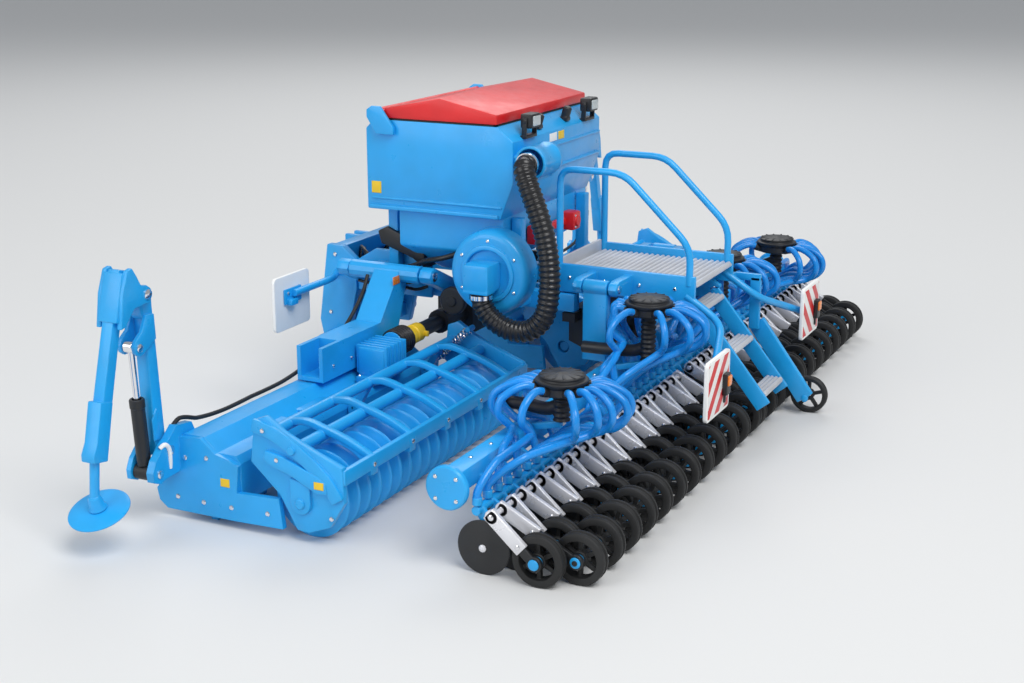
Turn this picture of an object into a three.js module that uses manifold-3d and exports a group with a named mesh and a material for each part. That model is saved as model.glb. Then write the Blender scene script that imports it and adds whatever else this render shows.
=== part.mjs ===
// Seed drill: a 1:32 scale model of a 6 m folding mounted drill on a power harrow.
// Millimetres, +Z up. +X is the machine's left, -Y is the front (the tractor's end).
// Heights are above the ground. Y is measured from a line just behind the axle of the front press
// wheels until the whole model is moved to its final origin on the last lines.

import * as THREE from 'three';
import { mergeVertices } from 'three/addons/utils/BufferGeometryUtils.js';
import Module from 'manifold-3d';

const wasm = await Module();
wasm.setup();

// ---------------------------------------------------------------- driving sizes

const gap = 0.3; // running gap between neighbouring pieces
const weld = 0.2; // depth by which welded members of one piece sink into each other

const halfWidth = 94; // centre line to the outer face of the harrow
const wingStart = 18; // centre line to the inner face of a wing
const rowSpacing = 3.9; // distance between seed rows
const rowsPerSide = 24;

const hopper = {
  width: 46, front: -75.5, rear: -40, skirt: 46.8, top: 66.5, wall: 1,
  frontChamfer: 2, rearChamferRun: 3.8, rearChamferDrop: 3, rearSlopeRise: 8,
  neckWidth: 43, neckFront: -68.5, neckRear: -43, neckLow: 39,
  outletWidth: 28, outletFront: -62, outletRear: -52, outletLow: 33,
};
const lid = {
  front: -70.8, rear: -43.8, eave: 2.1, ridge: 4.9, sheet: 0.9,
  hingeRise: 1.5, hingeRadius: 0.9, hingeAhead: 1.6, web: 0.8,
};
const lug = { thick: 1.2, width: 4.4, drop: 4.6 };
const fan = { y: -43.5, z: 36.3, radius: 9.1, depth: 6.2, rim: 6.1, rimHeight: 0.5, elbow: 6.2, elbowDepth: 6 };
const hose = { radius: 2.3, sides: 10, steps: 25 };
const intake = {
  y: -35.7, z: 59.6, radius: 3.5, wall: 0.5, inner: 14, outer: 24, floor: 2, shoulder: 0.8, saddle: 3.2,
};
const metering = { width: 4, length: 3.4, height: 4.2, spread: 9, z: 41.5 };

const stand = {
  headY: -92, towerHalf: 16, plate: 2, topLinkZ: 33, lowerLinkZ: 14, stubRadius: 1.7, stubLength: 4.5,
  earHalf: 2, earThick: 1.2, face: 1,
};
const rail = { halfGap: 12, width: 3, height: 4, z: 28, rear: -30 };
const crossHalf = 1.3; // half the section of a cross member between the rails
const post = { x: 17, size: 2.4, frontY: -72, rearY: -41.6 };
const wingHinge = { x: 23, z: 33, radius: 2, lugLength: 3, front: -80, rear: -62 };

const arm = { end: 56, y: -70, width: 6.2, top: 24.2, wall: 0.9, knee: 31 };
const trough = { front: -76, beamTop: 17, beamRear: -69, top: 14, rear: -61, floor: 5 };
const endPlate = { thick: 1.2 };
const gearbox = {
  x: 40, y: -62.6, length: 9, width: 7.4, height: 6.6, flange: 1.4, fins: 6, fin: 0.7, finProud: 0.5,
};
const shaft = {
  y: -62.6, z: 20.6, bellows: 3.1, bellowsLength: 5, guard: 1.7, split: 24, coverFromSplit: 9, casingHalf: 6,
};
const tines = { count: 10, blade: 0.8, reach: 2.2, plate: 0.8, margin: 5 };

const roller = { y: -47.3, z: 7.8, ring: 7.8, drum: 5, rings: 19, stub: 1.2, sides: 12 };
const rollerFrame = {
  plate: 1.4, tubeY: -49, tubeZ: 17.4, tube: 1.1, linkY: -56, linkZ: 18.6,
  barY: -38.4, barZ: 14, bar: 2, arches: 5, archWidth: 1.6, archThick: 1.2, archMargin: 10,
  bracketMargin: 8, bracketHeight: 4, bracketThick: 1.4,
};

const marker = {
  y: -77.4, pivotX: 96.6, pivotZ: 14.4, topX: 97.9, topZ: 43.6, width: 3, depth: 3, pin: 0.8, cheek: 1,
  kneeX: 99.3, kneeZ: 44.4, kneeRoom: 3.3, outerTopX: 103.7, outerTopZ: 49.6,
  sleeveX: 110.2, sleeveZ: 25.8, endX: 112.9, endZ: 17.2, sleeveWidth: 4.1, spindle: 0.87, hub: 1.5, hubLength: 2.6,
  discX: 112.8, discZ: 7.9, disc: 5.6, discThick: 0.9, discLean: 21.2,
};
const ram = {
  barrel: 1.3, rod: 0.6, length: 14.3, lowX: 99.9, lowZ: 10.8, eyeX: 101.6, eyeZ: 35, eye: 1.1, pin: 0.6,
  stroke: 6.4, shoulder: 3,
};

const seedBar = { y: -17.5, z: 16.5, size: 4, start: 3, end: 94 };
const seedHinge = { x: 20, z: 34, radius: 1.6, front: -27, rear: -17, lugLength: 2 };
const coulter = {
  frontY: -12, rearY: -8, z: 5, radius: 5, thick: 0.9, shaftY: -13.2, shaftZ: 11.6, shaft: 0.8, sides: 8,
};
const pressWheel = { frontY: -1.5, rearY: 4.4, radius: 4.7, width: 2.4, axle: 0.5, sides: 10 };
const pressArm = { thick: 0.9, headY: -9.4, headZ: 11.8, pin: 0.5 };
const head = {
  innerX: 23.4, outerX: 66.3, y: -9, innerZ: 32.5, outerZ: 28, cap: 4.9, capTaper: 0.8, capHeight: 1.9,
  stem: 1.6, foot: 21, supply: 1, supplyShift: 1, supplyReach: 14,
};
const seedHose = { radius: 0.7, sides: 5, steps: 5, reach: 8.6, ring: 1.6, spread: 26 };

const deck = { half: 11.5, front: -35, rear: -3, z: 34, thick: 0.8, toe: 3.2, ribs: 9, rib: 0.35 };
const beam = { thick: 1.1, low: 30.3, high: 36.5 };
const handrail = { radius: 0.75, top: 57, bendY: -19.5, lowTop: 42.5, rearY: -4.4, baseY: -34 };
const ladder = {
  half: 6.6, bar: 0.9, barDepth: 3.4, pivotY: -5.6, pivotZ: 29, run: 16.6, fall: 20.4,
  steps: 3, treadDepth: 3.8, treadThick: 1.1, firstStep: 0.06, lastStep: 0.9, pin: 0.6, lug: 1.2, carrierY: -9.5,
};
const wheelArm = { x: -16.9, thick: 1.4, depth: 4.2, pivotY: 1.5, pivotZ: 20.5, hanger: 1.2, hangerBlock: 2.4 };
const groundWheel = { x: -20, y: 13.6, radius: 4.2, width: 1.6, tyre: 1, spokes: 5, hub: 1 };
const board = { width: 13.4, height: 12, thick: 0.9, tube: 0.8 };
const frontBoard = { x: 35.8, y: -88, z: 27.5 };
const rearBoard = { x: 33, y: 9.6, z: 20.5 };
const links = { half: 8, plate: 1.4, front: -33, rear: -22.8, low: 14.5, high: 27 };

// ---------------------------------------------------------------- finishes

const finish = (color, roughness, metalness) => new THREE.MeshStandardMaterial({ color, roughness, metalness });
const paint = {
  blue: finish(0x2ba6e8, 0.35, 0),
  red: finish(0xc8262a, 0.35, 0),
  black: finish(0x15161a, 0.55, 0),
  rubber: finish(0x101114, 0.75, 0),
  grey: finish(0x9a9da3, 0.5, 0.3),
  silver: finish(0xc6c9ce, 0.3, 0.9),
  yellow: finish(0xf2c21a, 0.45, 0),
  white: finish(0xeeeeec, 0.5, 0),
  hoseBlue: finish(0x1e8fe0, 0.45, 0),
};

// ---------------------------------------------------------------- shape helpers

/** A closed three.js geometry as a manifold solid. */
function solid(geometry) {
  const plain = geometry.index ? geometry.toNonIndexed() : geometry.clone();
  plain.deleteAttribute('normal');
  plain.deleteAttribute('uv');
  const merged = mergeVertices(plain, 1e-4);
  const corners = merged.index.array;
  const kept = [];
  for (let i = 0; i < corners.length; i += 3) {
    const [a, b, c] = [corners[i], corners[i + 1], corners[i + 2]];
    if (a !== b && b !== c && c !== a) {
      kept.push(a, b, c);
    }
  }
  return new wasm.Manifold(new wasm.Mesh({
    numProp: 3,
    vertProperties: new Float32Array(merged.attributes.position.array),
    triVerts: new Uint32Array(kept),
  }));
}

const join = (pieces) => pieces.reduce((whole, piece) => whole.add(piece));

/** A box between two opposite corners. */
function block([x0, y0, z0], [x1, y1, z1]) {
  const shape = new THREE.BoxGeometry(Math.abs(x1 - x0), Math.abs(y1 - y0), Math.abs(z1 - z0));
  return solid(shape.translate((x0 + x1) / 2, (y0 + y1) / 2, (z0 + z1) / 2));
}

/** A flat bar of rectangular section from one point to another; width lies along the side vector. */
function strip(from, to, width, depth, side = [1, 0, 0]) {
  const start = new THREE.Vector3(...from);
  const along = new THREE.Vector3(...to).sub(start);
  const length = along.length();
  const across = new THREE.Vector3(...side).normalize();
  along.normalize();
  const up = new THREE.Vector3().crossVectors(along, across).normalize();
  const turn = new THREE.Matrix4().makeBasis(across, along, up.clone().negate());
  if (turn.determinant() < 0) {
    turn.makeBasis(across, along, up);
  }
  const shape = new THREE.BoxGeometry(width, length, depth).translate(0, length / 2, 0);
  return solid(shape.applyMatrix4(turn).translate(...from));
}

/** A round bar from one point to another. */
function rod(from, to, radius, sides = 12) {
  const start = new THREE.Vector3(...from);
  const along = new THREE.Vector3(...to).sub(start);
  const length = along.length();
  const turn = new THREE.Quaternion().setFromUnitVectors(new THREE.Vector3(0, 1, 0), along.normalize());
  const shape = new THREE.CylinderGeometry(radius, radius, length, sides).translate(0, length / 2, 0);
  return solid(shape.applyQuaternion(turn).translate(...from));
}

/** An outline of [y, z] points with its thickness along X. */
function sidePlate(outline, x0, x1) {
  const shape = new THREE.Shape(outline.map(([y, z]) => new THREE.Vector2(y, z)));
  const slab = new THREE.ExtrudeGeometry(shape, { depth: Math.abs(x1 - x0), bevelEnabled: false });
  const turn = new THREE.Matrix4().makeBasis(
    new THREE.Vector3(0, 1, 0), new THREE.Vector3(0, 0, 1), new THREE.Vector3(1, 0, 0),
  );
  return solid(slab.applyMatrix4(turn).translate(Math.min(x0, x1), 0, 0));
}

/** An outline of [x, z] points with its thickness along Y. */
function facePlate(outline, y0, y1) {
  const shape = new THREE.Shape(outline.map(([x, z]) => new THREE.Vector2(x, z)));
  const slab = new THREE.ExtrudeGeometry(shape, { depth: Math.abs(y1 - y0), bevelEnabled: false });
  return solid(slab.rotateX(Math.PI / 2).translate(0, Math.max(y0, y1), 0));
}

/** A body of revolution about an axis along X; the profile is a list of [x, radius]. */
function turned(profile, y, z, sides) {
  const outline = profile.map(([x, radius]) => new THREE.Vector2(radius, x));
  const shape = new THREE.LatheGeometry(outline, sides);
  const turn = new THREE.Matrix4().makeBasis(
    new THREE.Vector3(0, 0, 1), new THREE.Vector3(1, 0, 0), new THREE.Vector3(0, 1, 0),
  );
  return solid(shape.applyMatrix4(turn).translate(0, y, z));
}

/** A round tube along a smooth curve through the given points. */
function tube(points, radius, sides, steps) {
  const path = new THREE.CatmullRomCurve3(points.map((point) => new THREE.Vector3(...point)), false, 'centripetal');
  const circle = new THREE.Shape();
  for (let i = 0; i < sides; i += 1) {
    const turn = (i / sides) * 2 * Math.PI;
    const corner = [radius * Math.cos(turn), radius * Math.sin(turn)];
    if (i === 0) {
      circle.moveTo(...corner);
    } else {
      circle.lineTo(...corner);
    }
  }
  circle.closePath();
  return solid(new THREE.ExtrudeGeometry(circle, { steps, extrudePath: path, bevelEnabled: false }));
}

/** A bent bar of round section: straight rods that run past each other at the corners. */
function bentRod(points, radius, sides = 8) {
  const corners = points.map((point) => new THREE.Vector3(...point));
  const pieces = [];
  for (let i = 1; i < corners.length; i += 1) {
    const past = new THREE.Vector3().subVectors(corners[i], corners[i - 1]).setLength(radius * 0.8);
    const from = corners[i - 1].clone().sub(i > 1 ? past : new THREE.Vector3());
    const to = corners[i].clone().add(i < corners.length - 1 ? past : new THREE.Vector3());
    pieces.push(rod(from.toArray(), to.toArray(), radius, sides));
  }
  return join(pieces);
}

const machine = new THREE.Group();

/** Add one named mesh; its geometry is measured from the given origin. */
function place(name, body, material, origin = [0, 0, 0]) {
  const mesh = body.translate(origin.map((value) => -value)).getMesh();
  const geometry = new THREE.BufferGeometry();
  const points = new Float32Array(mesh.numVert * 3);
  for (let i = 0; i < mesh.numVert; i += 1) {
    for (let axis = 0; axis < 3; axis += 1) {
      points[i * 3 + axis] = mesh.vertProperties[i * mesh.numProp + axis];
    }
  }
  geometry.setAttribute('position', new THREE.BufferAttribute(points, 3));
  geometry.setIndex(new THREE.BufferAttribute(new Uint32Array(mesh.triVerts), 1));
  geometry.computeVertexNormals();
  const piece = new THREE.Mesh(geometry, material.clone());
  piece.name = name;
  piece.position.set(...origin);
  machine.add(piece);
}

/** Build a left-hand piece and its mirror image on the right. */
function placePair(name, body, material, [x, y, z]) {
  place(`${name}_left`, body, material, [x, y, z]);
  place(`${name}_right`, body.mirror([1, 0, 0]), material, [-x, y, z]);
}

// ---------------------------------------------------------------- hopper, lid and air supply

/** The hopper's outer shape, or its inner space when inset by the wall. */
function hopperShape(inset, topZ) {
  const h = hopper;
  const half = h.width / 2 - inset;
  const neck = h.neckWidth / 2 - inset;
  const outlet = h.outletWidth / 2 - inset;
  const skirt = h.skirt + inset;
  const side = sidePlate([
    [h.front + inset, skirt], [h.neckFront + inset, skirt], [h.neckFront + inset, h.neckLow],
    [h.outletFront + inset, h.outletLow + inset], [h.outletRear - inset, h.outletLow + inset],
    [h.neckRear - inset, h.neckLow], [h.neckRear - inset, skirt], [h.rear - inset, h.skirt + h.rearSlopeRise], [h.rear - inset, h.top - h.rearChamferDrop], [h.rear - h.rearChamferRun - inset, h.top],
    [h.rear - h.rearChamferRun - inset, topZ], [h.front + h.frontChamfer + inset, topZ],
    [h.front + h.frontChamfer + inset, h.top], [h.front + inset, h.top - h.frontChamfer],
  ], -half, half);
  const across = facePlate([
    [-half, skirt], [-neck, skirt], [-neck, h.neckLow], [-outlet, h.outletLow], [outlet, h.outletLow],
    [neck, h.neckLow], [neck, skirt], [half, skirt], [half, topZ], [-half, topZ],
  ], h.front, h.rear);
  return side.intersect(across);
}

const lidFloor = hopper.top + gap;
const hingeY = lid.front - lid.hingeAhead;
const hingeZ = hopper.top + lid.hingeRise;
const lidHalf = hopper.width / 2;

function hopperBody() {
  const shell = hopperShape(0, hopper.top).subtract(hopperShape(hopper.wall, hopper.top + 1));
  const lidRoom = block([-lidHalf - gap, lid.front - 9, hopper.top], [lidHalf + gap, lid.rear + 1, hopper.top + 9]);
  const lugs = [-1, 1].map((side) => sidePlate([
    [hingeY - lug.width / 2, hingeZ + 0.6], [hingeY - lug.width / 2, hingeZ - 1], [hingeY, hingeZ - lug.drop],
    [hingeY + lug.width, hingeZ - lug.drop], [hingeY + lug.width, hingeZ - lug.drop + 1.6],
    [hingeY + 1.2, hingeZ + 1.4], [hingeY - 1, hingeZ + 1.4],
  ], side * (lidHalf - weld), side * (lidHalf + lug.thick)).subtract(lidRoom));
  const saddle = block(
    [intake.inner + 2, hopper.rear - weld, intake.z - intake.saddle / 2],
    [intake.outer - 3, intake.y - intake.radius - gap, intake.z + intake.saddle / 2],
  );
  return join([shell, ...lugs, saddle]);
}

function lidBody() {
  const roof = (inset) => [
    [lid.front + inset, lidFloor - (inset ? 1 : 0)], [lid.rear - inset, lidFloor - (inset ? 1 : 0)],
    [lid.rear - inset, lidFloor + lid.eave - inset],
    [(lid.front + lid.rear) / 2, lidFloor + lid.ridge - inset], [lid.front + inset, lidFloor + lid.eave - inset],
  ];
  const shell = sidePlate(roof(0), -lidHalf, lidHalf)
    .subtract(sidePlate(roof(lid.sheet), -lidHalf + lid.sheet, lidHalf - lid.sheet));
  const hinge = rod([-lidHalf, hingeY, hingeZ], [lidHalf, hingeY, hingeZ], lid.hingeRadius, 10);
  const web = block(
    [-lidHalf + 1, hingeY, hingeZ - lid.web / 2], [lidHalf - 1, lid.front + weld, hingeZ + lid.web / 2],
  );
  return join([shell, hinge, web]);
}

place('hopper', hopperBody(), paint.blue, [0, (hopper.front + hopper.rear) / 2, hopper.skirt]);
place('hopper_lid', lidBody(), paint.red, [0, hingeY, hingeZ]);

const fanInner = hopper.neckWidth / 2 + gap;
const fanFace = fanInner + fan.depth;
const elbowX = fanFace + fan.elbowDepth / 2;
const elbowLow = fan.z - fan.elbow / 2;

function fanBody() {
  const drum = turned([[fanInner, 0], [fanInner, fan.radius], [fanFace, fan.radius], [fanFace, 0]], fan.y, fan.z, 24);
  const rim = turned([
    [fanFace - weld, 0], [fanFace - weld, fan.rim], [fanFace + fan.rimHeight, fan.rim], [fanFace + fan.rimHeight, 0],
  ], fan.y, fan.z, 20);
  const elbow = block(
    [fanFace - weld, fan.y - fan.elbow / 2, elbowLow],
    [fanFace + fan.elbowDepth, fan.y + fan.elbow / 2, fan.z + fan.elbow / 2],
  );
  return join([drum, rim, elbow]);
}

const fanHosePath = [
  [elbowX, fan.y, elbowLow - gap],
  [elbowX, fan.y, elbowLow - 1.6],
  [elbowX, -42.2, 28.8],
  [elbowX, -38, 26],
  [elbowX - 0.2, -33, 25.8],
  [elbowX - 0.5, -29.6, 28.6],
  [elbowX - 0.9, -28.4, 33.5],
  [elbowX - 1.4, -28.6, 40],
  [elbowX - 1.9, -30.2, 47],
  [elbowX - 2.3, -32.6, 53],
  [elbowX - 3, -34.6, 57.2],
  [intake.outer + 2.6, intake.y, intake.z - 0.5],
  [intake.outer + gap, intake.y, intake.z],
];

function intakeBody() {
  const r = intake.radius;
  const floor = intake.inner + intake.floor;
  return turned([
    [intake.inner, 0], [intake.inner, r - intake.shoulder], [intake.inner + intake.shoulder, r], [intake.outer, r],
    [intake.outer, r - intake.wall], [floor, r - intake.wall], [floor, 0],
  ], intake.y, intake.z, 20);
}

function meteringBody() {
  const rearY = hopper.neckRear + gap;
  const covers = [-1, 1].map((side) => block(
    [side * metering.spread - metering.width / 2, rearY, metering.z - metering.height / 2],
    [side * metering.spread + metering.width / 2, rearY + metering.length, metering.z + metering.height / 2],
  ));
  const strap = block(
    [-metering.spread, rearY, metering.z - 0.8], [metering.spread, rearY + 1.2, metering.z + 0.8],
  );
  return join([...covers, strap]);
}

place('fan_housing', fanBody(), paint.blue, [fanInner, fan.y, fan.z]);
place('fan_hose', tube(fanHosePath, hose.radius, hose.sides, hose.steps), paint.rubber);
place('air_intake', intakeBody(), paint.blue, [intake.inner, intake.y, intake.z]);
place('metering_covers', meteringBody(), paint.red, [0, hopper.neckRear, metering.z]);

// ---------------------------------------------------------------- centre frame and headstock

function headstockBody() {
  const s = stand;
  const rearY = wingHinge.front - wingHinge.lugLength - gap;
  const sidePlates = [-1, 1].map((side) => sidePlate([
    [s.headY, s.lowerLinkZ - 3], [s.headY + 5, s.lowerLinkZ - 3], [rearY, rail.z - rail.height / 2],
    [rearY, rail.z + rail.height / 2 + 3], [s.headY + 5, s.topLinkZ + 3], [s.headY + 1, s.topLinkZ + 3],
    [s.headY - 1.5, s.lowerLinkZ + 4],
  ], side * s.towerHalf, side * (s.towerHalf - s.plate)));
  const lowBeam = block([-s.towerHalf, s.headY + 0.6, s.lowerLinkZ - 1.6], [s.towerHalf, s.headY + 4.4, s.lowerLinkZ + 2]);
  const topBeam = block([-s.towerHalf, s.headY + 1, s.topLinkZ - 1], [s.towerHalf, s.headY + 4.6, s.topLinkZ + 2.6]);
  const face = block([-s.towerHalf + 1, s.headY + 2.4, s.lowerLinkZ], [s.towerHalf - 1, s.headY + 2.4 + s.face, s.topLinkZ]);
  const stubs = rod(
    [-s.towerHalf - s.stubLength, s.headY + 2, s.lowerLinkZ], [s.towerHalf + s.stubLength, s.headY + 2, s.lowerLinkZ],
    s.stubRadius, 12,
  );
  const topEars = [-s.earHalf, s.earHalf].map((x) => block(
    [x - s.earThick / 2, s.headY - 2.6, s.topLinkZ - 1], [x + s.earThick / 2, s.headY + 1.4, s.topLinkZ + 2.6],
  ));
  return join([...sidePlates, lowBeam, topBeam, face, stubs, ...topEars]);
}

function boardArms() {
  const z = frontBoard.z + 2;
  return [-1, 1].map((side) => bentRod([
    [side * (stand.towerHalf - 1), stand.headY + 3, z],
    [side * (stand.towerHalf + 5), frontBoard.y + board.tube + board.thick, z],
    [side * (frontBoard.x + 1), frontBoard.y + board.thick + board.tube, z],
  ], board.tube));
}

function centreFrameBody() {
  const railFront = stand.headY + 3;
  const pieces = [-1, 1].map((side) => block(
    [side * (rail.halfGap - rail.width / 2), railFront, rail.z - rail.height / 2],
    [side * (rail.halfGap + rail.width / 2), rail.rear, rail.z + rail.height / 2],
  ));
  for (const y of [wingHinge.front - wingHinge.lugLength / 2, wingHinge.rear + wingHinge.lugLength / 2, -38]) {
    pieces.push(block([-rail.halfGap, y - crossHalf, rail.z - crossHalf], [rail.halfGap, y + crossHalf, rail.z + crossHalf]));
  }
  for (const side of [-1, 1]) {
    for (const [y0, y1] of [
      [wingHinge.front - wingHinge.lugLength, wingHinge.front],
      [wingHinge.rear, wingHinge.rear + wingHinge.lugLength],
    ]) {
      pieces.push(facePlate([
        [side * rail.halfGap, rail.z - 1.6], [side * wingHinge.x, wingHinge.z - wingHinge.radius],
        [side * (wingHinge.x + wingHinge.radius), wingHinge.z], [side * wingHinge.x, wingHinge.z + wingHinge.radius],
        [side * rail.halfGap, rail.z + 2],
      ], y0, y1));
    }
    for (const y of [post.frontY, post.rearY]) {
      const [y0, y1] = [y - post.size / 2, y + post.size / 2];
      const postOuter = side * (post.x + post.size / 2);
      pieces.push(block([side * (rail.halfGap - 1), y0, rail.z - 1], [postOuter, y1, rail.z + 1]));
      pieces.push(block([side * (post.x - post.size / 2), y0, rail.z], [postOuter, y1, hopper.skirt - gap]));
    }
  }
  return join([headstockBody(), ...boardArms(), ...pieces]);
}

place('centre_frame', centreFrameBody(), paint.blue, [0, stand.headY, rail.z]);

function boardBody(x, y, z) {
  const [w, h] = [board.width / 2, board.height / 2];
  return facePlate([[x - w, z - h], [x + w, z - h], [x + w, z + h], [x - w, z + h]], y, y - board.thick);
}

placePair('front_board', boardBody(frontBoard.x, frontBoard.y + board.thick - gap, frontBoard.z), paint.white,
  [frontBoard.x, frontBoard.y, frontBoard.z]);
placePair('rear_board', boardBody(rearBoard.x, rearBoard.y, rearBoard.z), paint.white,
  [rearBoard.x, rearBoard.y, rearBoard.z]);

// ---------------------------------------------------------------- platform, ladder and ground wheel

function platformBody() {
  const pieces = [block([-deck.half, deck.front, deck.z], [deck.half, deck.rear, deck.z + deck.thick])];
  const pitch = (deck.half * 2) / deck.ribs;
  for (let i = 0; i < deck.ribs; i += 1) {
    const x = -deck.half + pitch * (i + 0.5);
    pieces.push(block([x - 0.7, deck.front, deck.z + 0.2], [x + 0.7, deck.rear, deck.z + deck.thick + deck.rib]));
  }
  pieces.push(block([-deck.half, deck.front, deck.z], [deck.half, deck.front + 0.8, deck.z + deck.toe]));
  return join(pieces);
}

const beamInner = deck.half + gap;
const beamOuter = beamInner + beam.thick;
const railX = beamOuter - beam.thick / 2;

function platformFrameBody() {
  const pieces = [];
  for (const side of [-1, 1]) {
    pieces.push(block([side * beamInner, deck.front, beam.low], [side * beamOuter, deck.rear, beam.high]));
    pieces.push(bentRod([
      [side * railX, handrail.baseY, beam.high - 2], [side * railX, handrail.baseY, handrail.top],
      [side * railX, handrail.bendY, handrail.top], [side * railX, handrail.rearY, handrail.lowTop],
      [side * railX, handrail.rearY, beam.high - 2],
    ], handrail.radius));
    for (const [y0, y1] of [
      [seedHinge.front, seedHinge.front + seedHinge.lugLength], [seedHinge.rear - seedHinge.lugLength, seedHinge.rear],
    ]) {
      pieces.push(facePlate([
        [side * (beamInner + weld), beam.low], [side * seedHinge.x, seedHinge.z - seedHinge.radius],
        [side * (seedHinge.x + seedHinge.radius), seedHinge.z], [side * seedHinge.x, seedHinge.z + seedHinge.radius],
        [side * (beamInner + weld), beam.high - 1],
      ], y0, y1));
    }
    pieces.push(bentRod([
      [side * railX, deck.rear - 2, beam.low + 2], [side * railX, 3, beam.low - 3],
      [side * (rearBoard.x - 2), rearBoard.y - board.thick - board.tube - gap, rearBoard.z],
    ], board.tube));
  }
  for (const y of [deck.front + 2, seedBar.y, ladder.carrierY]) {
    pieces.push(block([-beamOuter + weld, y - 1, beam.low], [beamOuter - weld, y + 1, beam.low + 1.8]));
  }
  const lugInner = ladder.half + ladder.bar / 2 + gap;
  for (const side of [-1, 1]) {
    pieces.push(block([side * lugInner, ladder.carrierY - 0.8, ladder.pivotZ - 1.6],
      [side * (lugInner + ladder.lug), ladder.pivotY + 1.6, beam.low + 1.6])
      .subtract(rod([side * (lugInner - 1), ladder.pivotY, ladder.pivotZ],
        [side * (lugInner + ladder.lug + 1), ladder.pivotY, ladder.pivotZ], ladder.pin + gap, 10)));
  }
  const armInner = wheelArm.x + wheelArm.thick / 2 + gap;
  const hangerX = armInner + wheelArm.hanger / 2;
  const hangerFront = deck.rear - wheelArm.hangerBlock;
  const blockTop = beam.low + 1.6;
  pieces.push(block([armInner, hangerFront, beam.low], [armInner + wheelArm.hanger, wheelArm.pivotY + 1.2, blockTop]));
  pieces.push(strip([hangerX, wheelArm.pivotY, beam.low + 1], [hangerX, wheelArm.pivotY, wheelArm.pivotZ - 1.2],
    wheelArm.hanger, wheelArm.hangerBlock));
  pieces.push(block([-beamInner - weld, hangerFront, beam.low], [armInner, deck.rear, blockTop]));
  return join(pieces);
}

function ladderBody() {
  const pieces = [];
  const end = [ladder.pivotY + ladder.run, ladder.pivotZ - ladder.fall];
  for (const side of [-1, 1]) {
    pieces.push(strip([side * ladder.half, ladder.pivotY, ladder.pivotZ], [side * ladder.half, ...end],
      ladder.bar, ladder.barDepth));
    pieces.push(rod([side * ladder.half, ladder.pivotY, ladder.pivotZ],
      [side * (ladder.half + ladder.bar / 2 + gap + ladder.lug), ladder.pivotY, ladder.pivotZ], ladder.pin, 8));
  }
  for (let i = 0; i < ladder.steps; i += 1) {
    const share = ladder.firstStep + ((ladder.lastStep - ladder.firstStep) * i) / (ladder.steps - 1);
    const y = ladder.pivotY + ladder.run * share;
    const z = ladder.pivotZ - ladder.fall * share;
    pieces.push(block([-ladder.half, y - ladder.treadDepth / 2, z],
      [ladder.half, y + ladder.treadDepth / 2, z + ladder.treadThick]));
  }
  return join(pieces);
}

function wheelArmBody() {
  const x0 = wheelArm.x;
  const axle = rod([x0 - wheelArm.thick / 2 + weld, groundWheel.y, groundWheel.radius],
    [groundWheel.x - groundWheel.width / 2 - 0.6, groundWheel.y, groundWheel.radius], 0.4, 8);
  return strip([x0, wheelArm.pivotY, wheelArm.pivotZ], [x0, groundWheel.y, groundWheel.radius], wheelArm.thick, wheelArm.depth)
    .add(axle);
}

function groundWheelBody() {
  const { x, y, radius, width, tyre, spokes, hub } = groundWheel;
  const half = width / 2;
  const ring = turned([
    [x - half, radius - tyre], [x - half, radius], [x + half, radius], [x + half, radius - tyre],
    [x - half, radius - tyre],
  ], y, radius, 24);
  const boss = turned([[x - half, 0.7], [x - half, hub + 0.2], [x + half, hub + 0.2], [x + half, 0.7], [x - half, 0.7]],
    y, radius, 12);
  const pieces = [ring, boss];
  for (let i = 0; i < spokes; i += 1) {
    const turn = (i / spokes) * 2 * Math.PI;
    const at = (r) => [x, y + r * Math.sin(turn), radius + r * Math.cos(turn)];
    pieces.push(strip(at(hub), at(radius - tyre + weld), 0.8, 0.8));
  }
  return join(pieces);
}

place('platform_deck', platformBody(), paint.grey, [0, deck.front, deck.z]);
place('platform_frame', platformFrameBody(), paint.blue, [0, deck.front, beam.low]);
place('ladder', ladderBody(), paint.blue, [0, ladder.pivotY, ladder.pivotZ]);
place('wheel_arm', wheelArmBody(), paint.blue, [wheelArm.x, wheelArm.pivotY, wheelArm.pivotZ]);
place('ground_wheel', groundWheelBody(), paint.rubber, [groundWheel.x, groundWheel.y, groundWheel.radius]);

function linkFrameBody() {
  const plates = [-1, 1].map((side) => sidePlate([
    [links.front, links.low + 4], [links.rear, links.low], [links.rear, links.high],
    [links.front, rail.z - rail.height / 2 - gap],
  ], side * links.half, side * (links.half + links.plate)));
  const cross = [links.low + 3, links.high - 3].map((z) => rod(
    [-links.half - 0.5, links.rear - 3, z], [links.half + 0.5, links.rear - 3, z], 1, 8,
  ));
  const head = block([-rail.halfGap - 1, links.front, rail.z - rail.height / 2 - gap - 2],
    [rail.halfGap + 1, links.front + 3, rail.z - rail.height / 2 - gap]);
  const top = block([-rail.halfGap + 2, links.rear - 3, links.high - 1], [rail.halfGap - 2, links.rear, beam.low - gap]);
  return join([...plates, ...cross, head, top]);
}

place('link_frame', linkFrameBody(), paint.black, [0, links.rear, links.low]);

// ---------------------------------------------------------------- harrow wings

const armLow = trough.beamTop - 0.4 + gap;

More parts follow.
